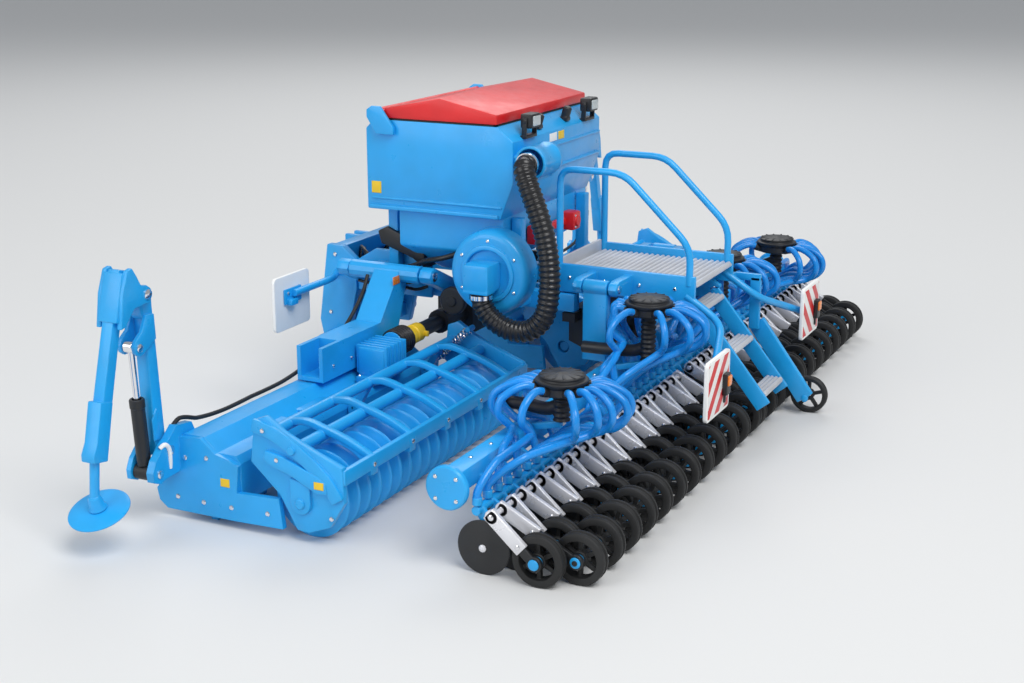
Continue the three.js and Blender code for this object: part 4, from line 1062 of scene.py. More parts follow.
@dataclass
class CentreFrame:
    """The headstock, the two long rails, the hopper's posts and the wings' hinge lugs."""

    head_y: float = -53.6
    tower: float = 16.0
    rail_x: float = 12.0
    post_x: float = 17.0
    hinge: Flat = (23.0, 33.0)
    board_z: float = 29.5

    def build(self) -> None:
        """Make every piece of the centre frame."""
        self.frame()
        self.fittings()
        # The link frame and centre drive are dressed black: partly their own black, partly painted
        # shade standing in for the shadow under the middle of the machine.
        dress(BLACK, "link_frame", "centre_drive")

    def frame(self) -> None:
        """The welded frame itself."""
        y, half, frame_shape = self.head_y, self.tower, Shape()
        for side in (-1, 1):
            plate = [(y, 11), (y + 5, 11), (-44.9, 26), (-44.9, 33), (y + 5, 36), (y + 1, 36),
                     (y - 1.5, 18)]
            frame_shape.slab(plate, Axis.X, side * (half - 2), side * half, 0.35)
            frame_shape.sweep(filleted([
                (side * 15, y + 3, self.board_z), (side * 21, -47.9, self.board_z),
                (side * 36.8, -47.9, self.board_z)], 2.5), 0.8, 20)
            frame_shape.block((side * (self.rail_x - 1.5), y + 3, 26),
                              (side * (self.rail_x + 1.5), 8.4, 30), 0.45)
            for y0 in (-44.6, -23.6):
                lug = [(side * self.rail_x, 26.4), (side * 22.2, 30.9), (side * 24.2, 31.6),
                       (side * 25, 33), (side * 24.2, 34.4), (side * 22.6, 34.9),
                       (side * self.rail_x, 30)]
                frame_shape.slab(lug, Axis.Y, y0, y0 + 3, 0.3)
            for post_y in (-33.6, -3.2):
                outer = side * (self.post_x + 1.2)
                frame_shape.block((side * 11, post_y - 1.2, 27), (outer, post_y + 1.2, 29), 0.3)
                frame_shape.block((side * (self.post_x - 1.2), post_y - 1.2, 28),
                                  (outer, post_y + 1.2, 46.5), 0.3)
                frame_shape.bar((side * self.post_x, post_y - 4, 29.6),
                                (side * self.post_x, post_y, 35), (1.2, 1.4))
            frame_shape.rod(
                (side * half, y + 2, 14), (side * (half + 4.5), y + 2, 14), 1.7, 32, 0.3)
            frame_shape.block((side * 1.4, y - 2.6, 32), (side * 2.6, y + 1.4, 35.6), 0.4)
        frame_shape.block((-half + 0.3, y + 0.6, 12.4), (half - 0.3, y + 4.4, 16), 0.5)
        frame_shape.block((-half + 0.3, y + 1, 32), (half - 0.3, y + 4.6, 35.6), 0.5)
        frame_shape.block((-half + 1, y + 2.4, 14), (half - 1, y + 3.4, 33), 0.2)
        for rib in (-7.5, 7.5):
            frame_shape.block((rib - 0.6, y + 1.4, 15), (rib + 0.6, y + 4.2, 33), 0.25)
        for cross in (-43.1, -22.1, 0.4):
            frame_shape.block(
                (-self.rail_x, cross - 1.3, 26.7), (self.rail_x, cross + 1.3, 29.3), 0.3)
        frame_shape.make("centre_weldment", "centre", BLUE, ["centre_frame"])

    def fittings(self) -> None:
        """Screws, pins and the thin hoses that cross behind the headstock."""
        screws, hoses = Shape(), Shape()
        for side in (-1, 1):
            for y, z in ((-52, 20), (-50.6, 14), (-47.6, 30), (-50.4, 33.8)):
                screws.bolt((side * self.tower, y, z), (side, 0, 0), 0.5, 0.35)
            for y in (-44.6, -20.6):
                out = -1 if y < -40 else 1
                screws.bolt((side * self.hinge[0], y, self.hinge[1]), (0, out, 0), 1.1, 0.4)
            for shift in (0, 1.6):
                hoses.sweep(smooth_path([
                    (side * (4 + shift), -50.2, 30 - shift),
                    (side * (8 + shift), -47.4, 34 + shift * 0.4),
                    (side * 13.4, -43.6, 33.6 + shift * 0.5), (side * 13, -39.5, 31.4),
                    (side * 12.4, -36, 30.3)], 0.5), 0.38, 12)
            for swap in (-1, 1):
                hoses.sweep(smooth_path([
                    (side * 18.9, -42.5, 30.0 + swap * 0.9),
                    (side * 19.0, -37.0, 29.7 + swap * 0.9),
                    (side * (19.0 + 0.4 * swap), -32.2, 29.4),
                    (side * 19.0, -27.4, 29.5 - swap * 0.9),
                    (side * 18.6, -24.8, 30.4 - swap * 0.9)], 0.5), 0.36, 12)
            hoses.sweep(smooth_path([
                (side * 21.3, -15.5, 38.4), (side * 22.3, -18.6, 37.3), (side * 21.8, -23, 36.2),
                (side * 19.6, -28, 34.0), (side * 18.9, -34, 32.6), (side * 17.6, -40, 32.0),
                (side * 16.2, -45, 31.6)], 0.5), 0.6, 16)
        screws.make("frame_screws", "centre", STEEL)
        hoses.make("headstock_hoses", "centre", GLOSS)
        self.covers()

    def covers(self) -> None:
        """Gusset plates beside the rails, the black fairings and the belt drive's cover."""
        plates, black = Shape(), Shape()
        for side in (-1, 1):
            plates.slab([(-44.9, 26), (-44.9, 33), (-40, 36), (-28.6, 36), (-25.6, 33),
                         (-25.6, 26)], Axis.X, side * 14.4, side * 15.4, 0.3)
            plates.slab([(-42, 27.5), (-42, 31.5), (-39, 33.4), (-30.4, 33.4), (-28, 31.4),
                         (-28, 27.5)], Axis.X, side * 15.3, side * 15.75, 0.2)
            black.slab([(-37.2, 41.0), (-34.8, 42.2), (-25.6, 38.4), (-25.2, 33.4), (-28.6, 35.6),
                        (-36.4, 38.2)], Axis.X, side * 12.5, side * 18.9, 0.4)
            black.turned([(20, 0), (20, 2.8), (20.25, 3.1), (21.3, 3.1), (21.6, 2.8), (21.6, 1.2),
                          (21.9, 1.0), (21.9, 0)], (0, -17.2, 27.6), (side, -17.2, 27.6), 48)
            black.rod((side * 13, -17.2, 28), (side * 20.2, -17.2, 27.6), 1.2, 24)
        plates.make("headstock_gussets", "centre", BLUE)
        black.make("headstock_fairings", "centre", BLACK)


@dataclass
class Boards:
    """The four warning boards with their brackets and lamps."""

    half: float = 6.7
    half_height: float = 6.0
    front_at: Flat = (35.8, 27.5)
    rear_at: Flat = (33.0, 20.5)
    stripe_rise: float = 5.4

    def build(self) -> None:
        """Make the front and rear boards."""
        self.front()
        self.rear()

    def _panel(self, at: Flat, low_y: float) -> Shape:
        """One board as a thin rounded plate.

        Args:
            at: Its middle, across the machine and in height.
            low_y: Its front face.

        Returns:
            The plate.
        """
        (x, z), w, h, r = at, self.half, self.half_height, 1.0
        outline = []
        for cx, cz, start in ((w - r, h - r, 0), (r - w, h - r, 90), (r - w, r - h, 180),
                              (w - r, r - h, 270)):
            for step in range(5):
                turn = math.radians(start + step * 22.5)
                outline.append((x + cx + r * math.cos(turn), z + cz + r * math.sin(turn)))
        return Shape().slab(outline, Axis.Y, low_y, low_y + 0.8, 0.12)

    def _stripes(self, at: Flat, reach: float, low_y: float, high_y: float) -> Shape:
        """The striped sheet on one board.

        Args:
            at: Its middle, across the machine and in height.
            reach: Half its width.
            low_y: Its front face.
            high_y: Its rear face.

        Returns:
            The sheet.
        """
        (x, z), rise = at, self.stripe_rise
        return Shape().block((x - reach, low_y, z - rise), (x + reach, high_y, z + rise), 0.04)

    def front(self) -> None:
        """White backs towards the rear, stripes towards the front."""
        self._panel(
            self.front_at, -49.85).pair("front_board_panel", "centre", WHITE, ["front_board"])
        stripes = self._stripes(self.front_at, 6.1, -49.95, -49.8)
        stripes.pair("front_board_stripes", "centre", STRIPED)
        plate = Shape().block((33.0, -49.0, 27.2), (39.4, -48.5, 30.6), 0.25)
        plate.block((36.0, -48.7, 27.0), (38.6, -47.3, 28.4), 0.3)
        plate.pair("front_board_bracket", "centre", BLUE)
        rivets = Shape()
        for x in (34.2, 38.2):
            rivets.bolt((x, -48.5, 29.6), BACK, 0.45, 0.3)
        rivets.pair("front_board_rivets", "centre", STEEL)

    def rear(self) -> None:
        """Stripes towards the rear, with a lamp on each board."""
        self._panel(self.rear_at, 47.15).pair("rear_board_panel", "centre", WHITE, ["rear_board"])
        stripes = self._stripes(self.rear_at, 6.0, 47.85, 48.0)
        stripes.pair("rear_board_stripes", "centre", STRIPED)
        plate = Shape().block((29.6, 46.7, 18.6), (34.4, 47.1, 22.4), 0.25)
        plate.pair("rear_board_bracket", "centre", BLUE)
        for side in Side:
            x, z = side.value * self.rear_at[0] - 3.4, self.rear_at[1] - 0.6
            case = Shape().block((x - 1.3, 47.7, z - 2.1), (x + 1.3, 49.0, z + 2.3), 0.35)
            case.bar((x, 48.1, z - 3.8), (x, 48.1, z - 1.8), (0.9, 0.5))
            case.make(f"rear_lamp_case_{side.label}", "centre", BLACK)
            glass = Shape().block((x - 1.0, 48.8, z - 0.2), (x + 1.0, 49.35, z + 1.9), 0.3)
            glass.make(f"rear_lamp_amber_{side.label}", "centre", ORANGE)


@dataclass
class Platform:
    """The standing platform with its rails, ladder and the ground wheel's hanger."""

    half: float = 11.5
    front: float = 3.4
    rear: float = 35.4
    floor: float = 34.0
    ridges: int = 24
    beam_in: float = 11.8
    beam_out: float = 12.9
    beam_low: float = 30.3
    beam_high: float = 36.5
    rail_x: float = 12.35
    rail: float = 0.75
    rail_top: float = 57.0
    rail_front: float = 4.4
    rail_rear: float = 34.0
    hanger_y: float = 41.1

    def build(self) -> None:
        """Make the platform."""
        self.deck()
        self.beams()

    def deck(self) -> None:
        """The grey ridged plate and the toe plate in front."""
        deck = Shape().block(
            (-self.half, self.front, self.floor), (self.half, self.rear, self.floor + 0.6), 0.15)
        pitch = (self.rear - self.front - 1.2) / self.ridges
        for i in range(self.ridges):
            y = self.front + 1.2 + pitch * (i + 0.5)
            deck.rod((-self.half + 0.3, y, self.floor + 0.62),
                     (self.half - 0.3, y, self.floor + 0.62), 0.46, 16, 0.08)
        deck.block((-self.half, self.front, self.floor),
                   (self.half, self.front + 0.8, self.floor + 3.2), 0.25)
        deck.make("deck_planks", "centre", GREY, ["platform_deck"])

    def beams(self) -> None:
        """Side beams, handrails, hinge lugs, cross bars and the arms of the rear boards."""
        work, screws = Shape(), Shape()
        for side in (-1, 1):
            work.block((side * self.beam_in, self.front, self.beam_low),
                       (side * self.beam_out, self.rear, self.beam_high), 0.3)
            work.sweep(filleted([
                (side * self.rail_x, self.rail_front, self.beam_high - 2),
                (side * self.rail_x, self.rail_front, self.rail_top),
                (side * self.rail_x, 18.9, self.rail_top),
                (side * self.rail_x, self.rail_rear, 42.5),
                (side * self.rail_x, self.rail_rear, self.beam_high - 2)], 3.2), self.rail, 24)
            for y0 in (11.4, 19.4):
                lug = [
                    (side * 12, 30.3), (side * 19.2, 32.4), (side * 20.9, 32.8), (side * 21.6, 34),
                    (side * 20.9, 35.2), (side * 19.4, 35.6), (side * 12, 35.5)]
                work.slab(lug, Axis.Y, y0, y0 + 2, 0.25)
                screws.bolt((side * 20, y0 if y0 < 15 else y0 + 2, 34),
                            (0, -1 if y0 < 15 else 1, 0), 0.9, 0.35)
            work.sweep(filleted([(side * self.rail_x, 33.4, 32.3), (side * self.rail_x, 41.4, 27.3),
                                 (side * 31, 46.0, 20.5)], 4.0), 0.8, 20)
            for y in (7, 15, 23, 31):
                screws.bolt((side * self.beam_out, y, 33.6), (side, 0, 0), 0.4, 0.28)
            lug_in, lug_out = side * 7.35, side * 8.55
            work.slab([(28.1, 27.4), (28.1, 31.9), (31.6, 31.9), (34.2, 30.4), (34.2, 29.8),
                       (32.8, 29.95), (32.0, 29.6), (31.8, 28.8), (32.3, 28.1), (32.0, 27.4)],
                      Axis.X, lug_in, lug_out, 0.12)
        for y in (5.4, 20.9, 28.9):
            work.block((-self.beam_out + 0.2, y - 1, self.beam_low),
                       (self.beam_out - 0.2, y + 1, self.beam_low + 1.8), 0.25)
        work.block((-15.9, 33.0, self.beam_low), (-14.7, self.hanger_y, 31.9), 0.2)
        work.block((-15.9, 38.7, 19.3), (-14.7, self.hanger_y, 31.3), 0.3)
        work.block((-12.0, 33.0, self.beam_low), (-15.9, self.rear, 31.9), 0.2)
        work.make("platform_weldment", "centre", BLUE, ["platform_frame"])
        screws.make("platform_screws", "centre", STEEL)


@dataclass
class Ladder:
    """The folding ladder at the back of the platform."""

    half: float = 6.6
    pivot: Flat = (32.8, 29.0)
    foot: Flat = (49.4, 8.6)
    treads: int = 3
    first: float = 0.06
    spread: float = 0.84
    tread_half: float = 1.9
    ridges: int = 4
    ridge_pitch: float = 0.92

    def build(self) -> None:
        """Make the side bars and the grey treads."""
        bars, treads = Shape(), Shape()
        (y0, z0), (y1, z1) = self.pivot, self.foot
        for side in (-1, 1):
            bars.bar((side * self.half, y0, z0), (side * self.half, y1, z1), (0.9, 3.4), ease=0.25)
            bars.rod((side * self.half, y0, z0), (side * 8.5, y0, z0), 0.6, 20)
        for i in range(self.treads):
            share = self.first + self.spread * i / (self.treads - 1)
            y, z = y0 + (y1 - y0) * share, z0 + (z1 - z0) * share
            treads.block((-self.half + 0.4, y - self.tread_half, z),
                         (self.half - 0.4, y + self.tread_half, z + 0.8), 0.15)
            for k in range(self.ridges):
                ridge = y + (k - (self.ridges - 1) / 2) * self.ridge_pitch
                treads.rod((-self.half + 0.5, ridge, z + 0.72), (self.half - 0.5, ridge, z + 0.72),
                           0.42, 16, 0.1)
        bars.make("ladder_bars", "ladder", BLUE, ["ladder"])
        treads.make("ladder_treads", "ladder", GREY)


@dataclass
class GroundWheel:
    """The small spoked wheel that trails on its own arm behind the machine."""

    x: float = -20.0
    y: float = 52.0
    radius: float = 4.2
    width: float = 1.6
    arm_x: float = -16.9
    pivot: Flat = (39.9, 20.5)

    def build(self) -> None:
        """Make the arm and the wheel."""
        arm = Shape().slab(band([self.pivot, (self.y, self.radius)], 4.0), Axis.X, self.arm_x - 0.7,
                           self.arm_x + 0.7, 0.25)
        arm.rod((self.arm_x - 0.5, self.y, self.radius), (self.x - 1.4, self.y, self.radius), 0.4,
                16, 0.08)
        arm.bolt((self.arm_x + 0.7, self.y, self.radius), ACROSS, 0.8, 0.3)
        arm.make("wheel_arm_plate", "wheel_arm", BLUE, ["wheel_arm"])
        half, r = self.width / 2, self.radius
        wheel = Shape().turned(
            [(-half, r - 1.0), (-half, r - 0.3), (-half + 0.25, r), (-0.15, r), (0, r - 0.15),
             (0.15, r), (half - 0.25, r), (half, r - 0.3), (half, r - 1.0), (-half, r - 1.0)],
            (self.x, self.y, r), sides=56)
        wheel.turned([(-half, 0.65), (-half, 1.2), (half, 1.2), (half, 0.65), (-half, 0.65)],
                     (self.x, self.y, r), sides=28)
        wheel.spokes((self.x, self.y, r), 5, (1.0, r - 0.8), (0.9, 0.75), 0.15)
        wheel.make("ground_wheel_rim", "ground_wheel", RUBBER, ["ground_wheel"])


# ---------------------------------------------------------------- harrow wings


@dataclass
class HarrowWing:
    """One half of the power harrow: arm, trough, gearbox and drive shaft."""

    outer: float = 94.0
    gear_x: float = 40.0
    gear_y: float = -24.2
    shaft_z: float = 20.6

    def build(self) -> None:
        """Make the pieces of both wings."""
        dress(BLUE, "wing_arm_", "harrow_trough_", "harrow_tines_")
        self.gearbox()
        self.drive()
        self.details()

    def gearbox(self) -> None:
        """The finned casing on its flange."""
        x, y, floor = self.gear_x, self.gear_y, 14.3
        case = Shape().block((x - 5.5, y - 3.1, floor), (x + 5.5, y + 2.1, floor + 1.4), 0.25)
        case.block((x - 4.5, y - 3.2, floor + 1.2), (x + 4.5, y + 3.2, floor + 7.5), 0.6)
        for i in range(6):
            fin = x - 3.8 + i * 7.6 / 5
            case.block((fin - 0.3, y - 3.7, floor + 1.8), (fin + 0.3, y + 3.7, floor + 8), 0.14)
        case.rod((x - 4.6, y, self.shaft_z), (x - 4.4, y, self.shaft_z), 2.6, 32, 0.1)
        case.pair("gearbox_case", "wing_{}", BLUE, ["gearbox"])
        screws = Shape()
        for dx in (-4.9, 4.9):
            for dy in (-2.5, 1.5):
                screws.bolt((x + dx, y + dy, floor + 1.4), UP, 0.4, 0.35)
        screws.pair("gearbox_screws", "wing_{}", STEEL)

    def drive(self) -> None:
        """The yellow guard and the black bellows that meet the gearbox."""
        y, z = self.gear_y, self.shaft_z
        guard = Shape().turned([
            (24.3, 0), (24.3, 1.9), (24.5, 2.1), (27.0, 2.1), (27.2, 1.9), (28.6, 1.9), (28.9, 2.4),
            (30.4, 2.4), (30.4, 0)], (0, y, z), sides=40)
        guard.block((24.6, y + 1.6, z - 0.6), (25.4, y + 3.0, z + 0.6), 0.2)
        guard.pair("drive_guard", "wing_{}", YELLOW, ["drive_shaft"])
        profile = [(30.2, 0), (30.2, 2.3)]
        for i in range(5):
            at = 30.3 + i * 0.95
            profile += [
                (at + 0.15, 2.9 + 0.04 * i), (at + 0.4, 3.05), (at + 0.7, 2.6), (at + 0.85, 2.5)]
        profile += [(35.1, 3.0), (35.2, 2.6), (35.2, 0)]
        Shape().turned(profile, (0, y, z), sides=48).pair("drive_bellows", "wing_{}", GLOSS)

    def details(self) -> None:
        """Covers, screws, labels and the thin hose along the trough."""
        cover, screws, yellow, hose, red = Shape(), Shape(), Shape(), Shape(), Shape()
        for x in (62, 76):
            cover.block((x - 4.6, -33.6, 14.0), (x + 4.6, -25.0, 14.55), 0.25)
            for dx in (-3.8, 3.8):
                for y in (-32.8, -25.8):
                    screws.bolt((x + dx, y, 14.55), UP, 0.38, 0.3)
        for y, z in ((-36.5, 4.4), (-30.6, 4.2), (-24.4, 4.2), (-16.4, 4.4), (-29.6, 13.0),
                     (-34.4, 12.4)):
            screws.bolt((self.outer, y, z), ACROSS, 0.5, 0.35)
        yellow.block((self.outer - 0.1, -26.6, 8.0), (self.outer + 0.06, -24.6, 9.6), 0.04)
        for x in (45.0, 52.0):
            screws.bolt((x, -28.5, 19.5), BACK, 0.45, 0.3)
        red.block((24.6, -28.55, 31.2), (27.4, -28.35, 33.0), 0.06)
        hose.sweep(smooth_path([
            (95.5, -37.2, 16.6), (92.5, -36.6, 19.2), (88, -36.2, 18.0), (80, -36.0, 17.2),
            (70, -36.3, 17.1), (60, -36.0, 17.3), (50, -36.2, 18.4), (42, -36.0, 20.0),
            (34, -35.6, 24.5), (28, -35.6, 29.6), (25.6, -36.0, 32.4)], 0.6), 0.42, 12)
        cover.pair("trough_covers", "wing_{}", BLUE)
        screws.pair("wing_screws", "wing_{}", STEEL)
        yellow.pair("wing_labels", "wing_{}", YELLOW)
        red.pair("hinge_mark", "wing_{}", ORANGE)
        hose.pair("marker_feed_hose", "wing_{}", RUBBER)


@dataclass
class PackerRoller:
    """The ringed packer roller behind each harrow wing, with its frame and scraper arches."""

    y: float = -8.9
    z: float = 7.8
    ring: float = 7.8
    drum: float = 5.0
    rings: int = 19
    start: float = 21.2
    end: float = 92.3
    face: float = 93.9
    bearing: float = 2.1
    tubes: tuple[Flat, Flat] = ((-10.6, 17.4), (-17.6, 18.6))
    spring_turns: int = 10
    coil_steps: int = 14

    def build(self) -> None:
        """Make the rollers and their frames."""
        self.rollers()
        self.frames()

    def rollers(self) -> None:
        """The turned drum with rounded rings."""
        pitch = (self.end - self.start) / self.rings
        profile = [(20.2, 0), (20.2, 1.1), (20.3, 1.2), (self.start, 1.2), (self.start, self.drum)]
        for i in range(self.rings):
            x = self.start + pitch * i
            for share, radius in ((0.16, self.drum + 0.05), (0.3, self.drum + 0.7),
                                  (0.43, self.ring - 0.55), (0.47, self.ring - 0.1),
                                  (0.5, self.ring), (0.53, self.ring - 0.1),
                                  (0.57, self.ring - 0.55), (0.7, self.drum + 0.7),
                                  (0.84, self.drum + 0.05)):
                profile.append((x + pitch * share, radius))
        profile += [(self.end, self.drum), (self.end, 1.2), (93.2, 1.2), (93.3, 1.1), (93.3, 0)]
        Shape().turned(profile, (0, self.y, self.z), sides=64).pair(
            "roller_drum", "roller_{}", BLUE, ["packer_roller"], 40.0)

    def frames(self) -> None:
        """End plates, cross tubes, the scraper bar and its arches."""
        work, screws, yellow = Shape(), Shape(), Shape()
        outline = [(-19.6, 14), (-18.6, 22), (-16.1, 23), (-12.1, 20.4), (-5.6, 17.6), (-0.2, 15.6),
                   (0, 9), (-3.1, 4), (-7.6, 2.2), (-10.1, 2.4), (-13.6, 8.6)]
        for x in (19.5, 92.6):
            hole = Shape().rod((x - 1, self.y, self.z), (x + 2.4, self.y, self.z), 1.5, 32, 0.0)
            plate = cut(Shape().slab(outline, Axis.X, x, x + 1.4, 0.0), hole, 0.2)
            work.merge(plate)
        for y, z in self.tubes:
            work.rod((19.7, y, z), (93.8, y, z), 1.1, 28, 0.1)
        work.block((19.7, -0.8, 12.4), (93.8, 0.3, 15.2), 0.25)
        for i in range(5):
            x = 28 + 14 * i
            work.slab(band(arc([(-17.6, 18.9), (-14.0, 19.4), (-10.6, 18.6), (-5.0, 16.9),
                                (-0.3, 14.6)]), 1.2), Axis.X, x - 0.8, x + 0.8, 0.2)
            work.block((x - 1.1, -1.2, 11.4), (x + 1.1, 0.35, 14.0), 0.2)
            screws.bolt((x, 0.35, 13.4), BACK, 0.45, 0.3)
        for x in (26, 56, 86):
            work.block((x - 0.8, -22.3, 10), (x + 0.8, -20.9, 14), 0.2)
            work.bar((x, -21.1, 12.4), (x, -17.6, 18.6), (1.6, 1.6))
        work.slab(band(arc([(-18.6, 21.2), (-14.4, 20.2), (-10.6, 18.2), (-6.6, 15.6), (-3.2, 12.6),
                            (-1.0, 9.4)]), 2.6), Axis.X, self.face, self.face + 0.8, 0.2)
        work.slab([(-16.4, 15.4), (-15.8, 16.9), (-12.0, 16.2), (-5.0, 13.6), (-3.2, 12.4),
                   (-3.0, 10.6), (-5.2, 10.4), (-9.4, 12.4), (-11.2, 13.2), (-15.4, 14.3)], Axis.X,
                  self.face, self.face + 1.0, 0.2)
        turns = [math.radians(turn) for turn in range(180, 361, 20)]
        cup = [(self.y + self.bearing * math.cos(turn), self.z + self.bearing * math.sin(turn))
               for turn in turns]
        cup += [(self.y + self.bearing, 11.6), (self.y - self.bearing, 12.4)]
        work.slab(cup, Axis.X, self.face, self.face + 0.7, 0.2)
        work.turned([(-0.55, 0), (-0.55, 1.0), (0.85, 1.0), (1.0, 0.8), (1.0, 0)],
                    (94, self.y, self.z), sides=28)
        work.rod((self.face, -10.2, 17.7), (self.face + 1.4, -10.2, 17.7), 0.8, 24, 0.15)
        for y, z in ((-16.2, 20.6), (-2.6, 5.9), (-13.4, 15.5)):
            screws.bolt((94.2 if y > -3 else 94.9, y, z), ACROSS, 0.45, 0.3)
        low, high = Vector((22.1, -19.6, 15.2)), Vector((22.1, -13.0, 21.6))
        side = Vector(ACROSS)
        across = (high - low).normalized().cross(side)
        count, coil = self.spring_turns * self.coil_steps, []
        for i in range(count + 1):
            turn = i / self.coil_steps * 2 * math.pi
            coil.append(low.lerp(
                high, i / count) + 0.85 * (math.cos(turn) * across + math.sin(turn) * side))
        Shape().sweep(coil, 0.2, 8).pair("depth_spring", "wing_{}", STEEL)
        for end, beyond in ((low, -0.7), (high, 0.7)):
            tip = end + (high - low).normalized() * beyond
            work.rod((20.6, tip.y, tip.z), (23.2, tip.y, tip.z), 0.6, 20)
        yellow.block((94.85, -5.6, 11.3), (94.98, -3.6, 12.7), 0.03)
        work.pair("roller_weldment", "wing_{}", BLUE, ["roller_frame"])
        screws.pair("roller_screws", "wing_{}", STEEL)
        yellow.pair("roller_label", "wing_{}", YELLOW)


@dataclass
class Marker:
    """The folded row marker at each end: two arms, a ram and a leaning disc."""

    y: float = -39.0
    foot: Flat = (99.9, 10.8)
    eye: Flat = (101.6, 35.0)
    disc: Flat = (112.8, 7.9)
    lean: float = 21.2
    pivot: Flat = (96.6, 14.4)
    knee: Flat = (99.3, 44.4)
    cheek: float = 2.8
    hub_top: float = 2.6
    disc_radius: float = 5.6

    def build(self) -> None:
        """Make the pieces of both markers."""
        self.arms()
        self.ram()
        self.blade()
        self.pins()

    def arms(self) -> None:
        """The upright lower arm, and the outer arm with its link, sleeve and spindle."""
        y = self.y
        lower = Shape().slab([
            (95.1, 14.4), (95.4, 13.5), (96.1, 12.95), (97.1, 12.95), (97.8, 13.5), (98.1, 14.4),
            (99.0, 43.0), (96.7, 43.0)], Axis.Y, y - 1.35, y + 1.35, 0.3)
        lower.slab([(96.5, 39.6), (96.5, 43.6), (98.7, 45.9), (99.6, 46.0), (100.5, 45.4),
                    (100.8, 44.2), (99.3, 39.6)], Axis.Y, y - 1.25, y + 1.25, 0.3)
        for side in (-1, 1):
            lower.slab([(96.8, 35.6), (97.0, 40.3), (99.2, 40.5), (100.6, 37.7), (102.3, 36.5),
                        (102.9, 35.3), (102.6, 34.1), (101.7, 33.4), (100.6, 33.5)], Axis.Y,
                       y + side * 1.2, y + side * 2.0, 0.15)
            lower.slab([(97.2, 16.5), (97.4, 22.5), (98.9, 20.6), (98.7, 16.5)], Axis.Y,
                       y + side * 1.25, y + side * 1.6, 0.08)
        lower.pair("marker_lower_arm", "marker_{}", BLUE, ["marker_arm"])
        outer = Shape().slab([(102.65, 49.3), (104.6, 49.8), (111.9, 24.3), (109.4, 23.7)], Axis.Y,
                             y - 1.22, y + 1.22, 0.3)
        outer.bar((103.9, y, 49.0), (106.3, y, 40.6), (2.1, 4.2), side=(1, 0, 0.28), ease=0.25)
        for side in (-1, 1):
            outer.slab([(98.0, 44.0), (98.4, 45.4), (99.4, 46.1), (100.9, 46.4), (101.9, 48.2),
                        (103.0, 49.9), (104.3, 49.6), (105.9, 45.6), (106.9, 39.6), (105.6, 39.9),
                        (103.1, 42.6), (100.2, 42.9), (98.8, 42.9)], Axis.Y, y + side * 1.8,
                       y + side * self.cheek, 0.2)
        outer.slab([(108.8, 27.0), (111.9, 27.7), (113.6, 20.6), (114.7, 18.6), (114.7, 17.3),
                    (111.2, 16.7)], Axis.Y, y - 1.5, y + 1.5, 0.3)
        lean = math.radians(self.lean)
        tip = (self.disc[0] + self.hub_top * math.sin(lean), y,
               self.disc[1] + self.hub_top * math.cos(lean))
        outer.rod((112.9, y, 18.2), tip, 0.87, 28, 0.1)
        outer.turned([(0.55, 0), (0.55, 1.65), (0.75, 1.7), (1.2, 1.4), (2.8, 1.2), (3.2, 0.95),
                      (3.2, 0)], (self.disc[0], y, self.disc[1]), tip, 32)
        outer.pair("marker_outer_tube", "marker_outer_{}", BLUE, ["marker_outer_arm"])

    def ram(self) -> None:
        """The black barrel and its bright rod."""
        run, rise = self.eye[0] - self.foot[0], self.eye[1] - self.foot[1]
        length = math.hypot(run, rise)
        start = (self.foot[0], self.y, self.foot[1])
        end = (self.eye[0], self.y, self.eye[1])
        barrel = Shape().turned([
            (1.35, 0.3), (1.35, 1.1), (1.6, 1.3), (12.6, 1.3), (12.7, 1.42), (14.1, 1.42),
            (14.3, 1.3), (14.3, 0.9), (3.0, 0.9), (3.0, 0.3), (1.35, 0.3)], start, end, 36)
        barrel.turned([(-1.6, 0.9), (-1.6, 1.5), (1.6, 1.5), (1.6, 0.9), (-1.6, 0.9)], start,
                      (start[0], start[1] + 1, start[2]), 28)
        barrel.pair("marker_ram_barrel", "marker_barrel_{}", BLACK, ["marker_barrel"])
        rod = Shape().turned([(9.7, 0), (9.7, 0.5), (9.8, 0.6), (length - 0.8, 0.6),
                              (length - 0.8, 0)], start, end, 28)
        rod.rod((end[0], self.y - 1.0, end[2]), (end[0], self.y + 1.0, end[2]), 1.1, 28, 0.15)
        rod.pair("marker_ram_rod", "marker_rod_{}", STEEL, ["marker_rod"])

    def blade(self) -> None:
        """The flat disc that scratches the line."""
        lean = math.radians(self.lean)
        middle = (self.disc[0], self.y, self.disc[1])
        above = (middle[0] + math.sin(lean), self.y, middle[2] + math.cos(lean))
        rim = self.disc_radius
        profile = [(-0.45, 0), (-0.45, rim - 1.0), (-0.12, rim), (0.05, rim), (0.3, rim - 0.7),
                   (0.4, 1.9), (0.45, 1.7), (0.45, 0)]
        blade = Shape().turned(profile, middle, above, 72)
        blade.pair("marker_blade", "marker_disc_{}", BLUE, ["marker_disc"])

    def pins(self) -> None:
        """Round pin heads at the marker's joints."""
        low, knee, ram = Shape(), Shape(), Shape()
        for towards in (-1, 1):
            near, out = self.y + towards * self.cheek, (0, towards, 0)
            for (x, z), radius in ((self.pivot, 1.0), (self.foot, 0.8)):
                low.bolt((x, near + (0.6 if towards > 0 else 0), z), out, radius, 0.4)
            knee.bolt((self.knee[0], near, self.knee[1]), out, 1.0, 0.4)
            ram.bolt((self.eye[0], self.y + towards * 2.1, self.eye[1]), out, 0.8, 0.35)
        Shape().sweep(smooth_path([
            (98.9, -36.1, 15.4), (98.2, -35.6, 16.0), (97.3, -35.4, 15.2), (96.9, -35.5, 12.9),
            (96.7, -35.8, 11.0)], 0.25), 0.42, 14).pair("ram_feed_elbow", "wing_{}", WHITE)
        low.pair("marker_foot_pins", "wing_{}", STEEL)
        knee.pair("marker_knee_pins", "marker_outer_{}", STEEL)
        ram.pair("marker_eye_pins", "marker_{}", STEEL)


# ---------------------------------------------------------------- seed wings


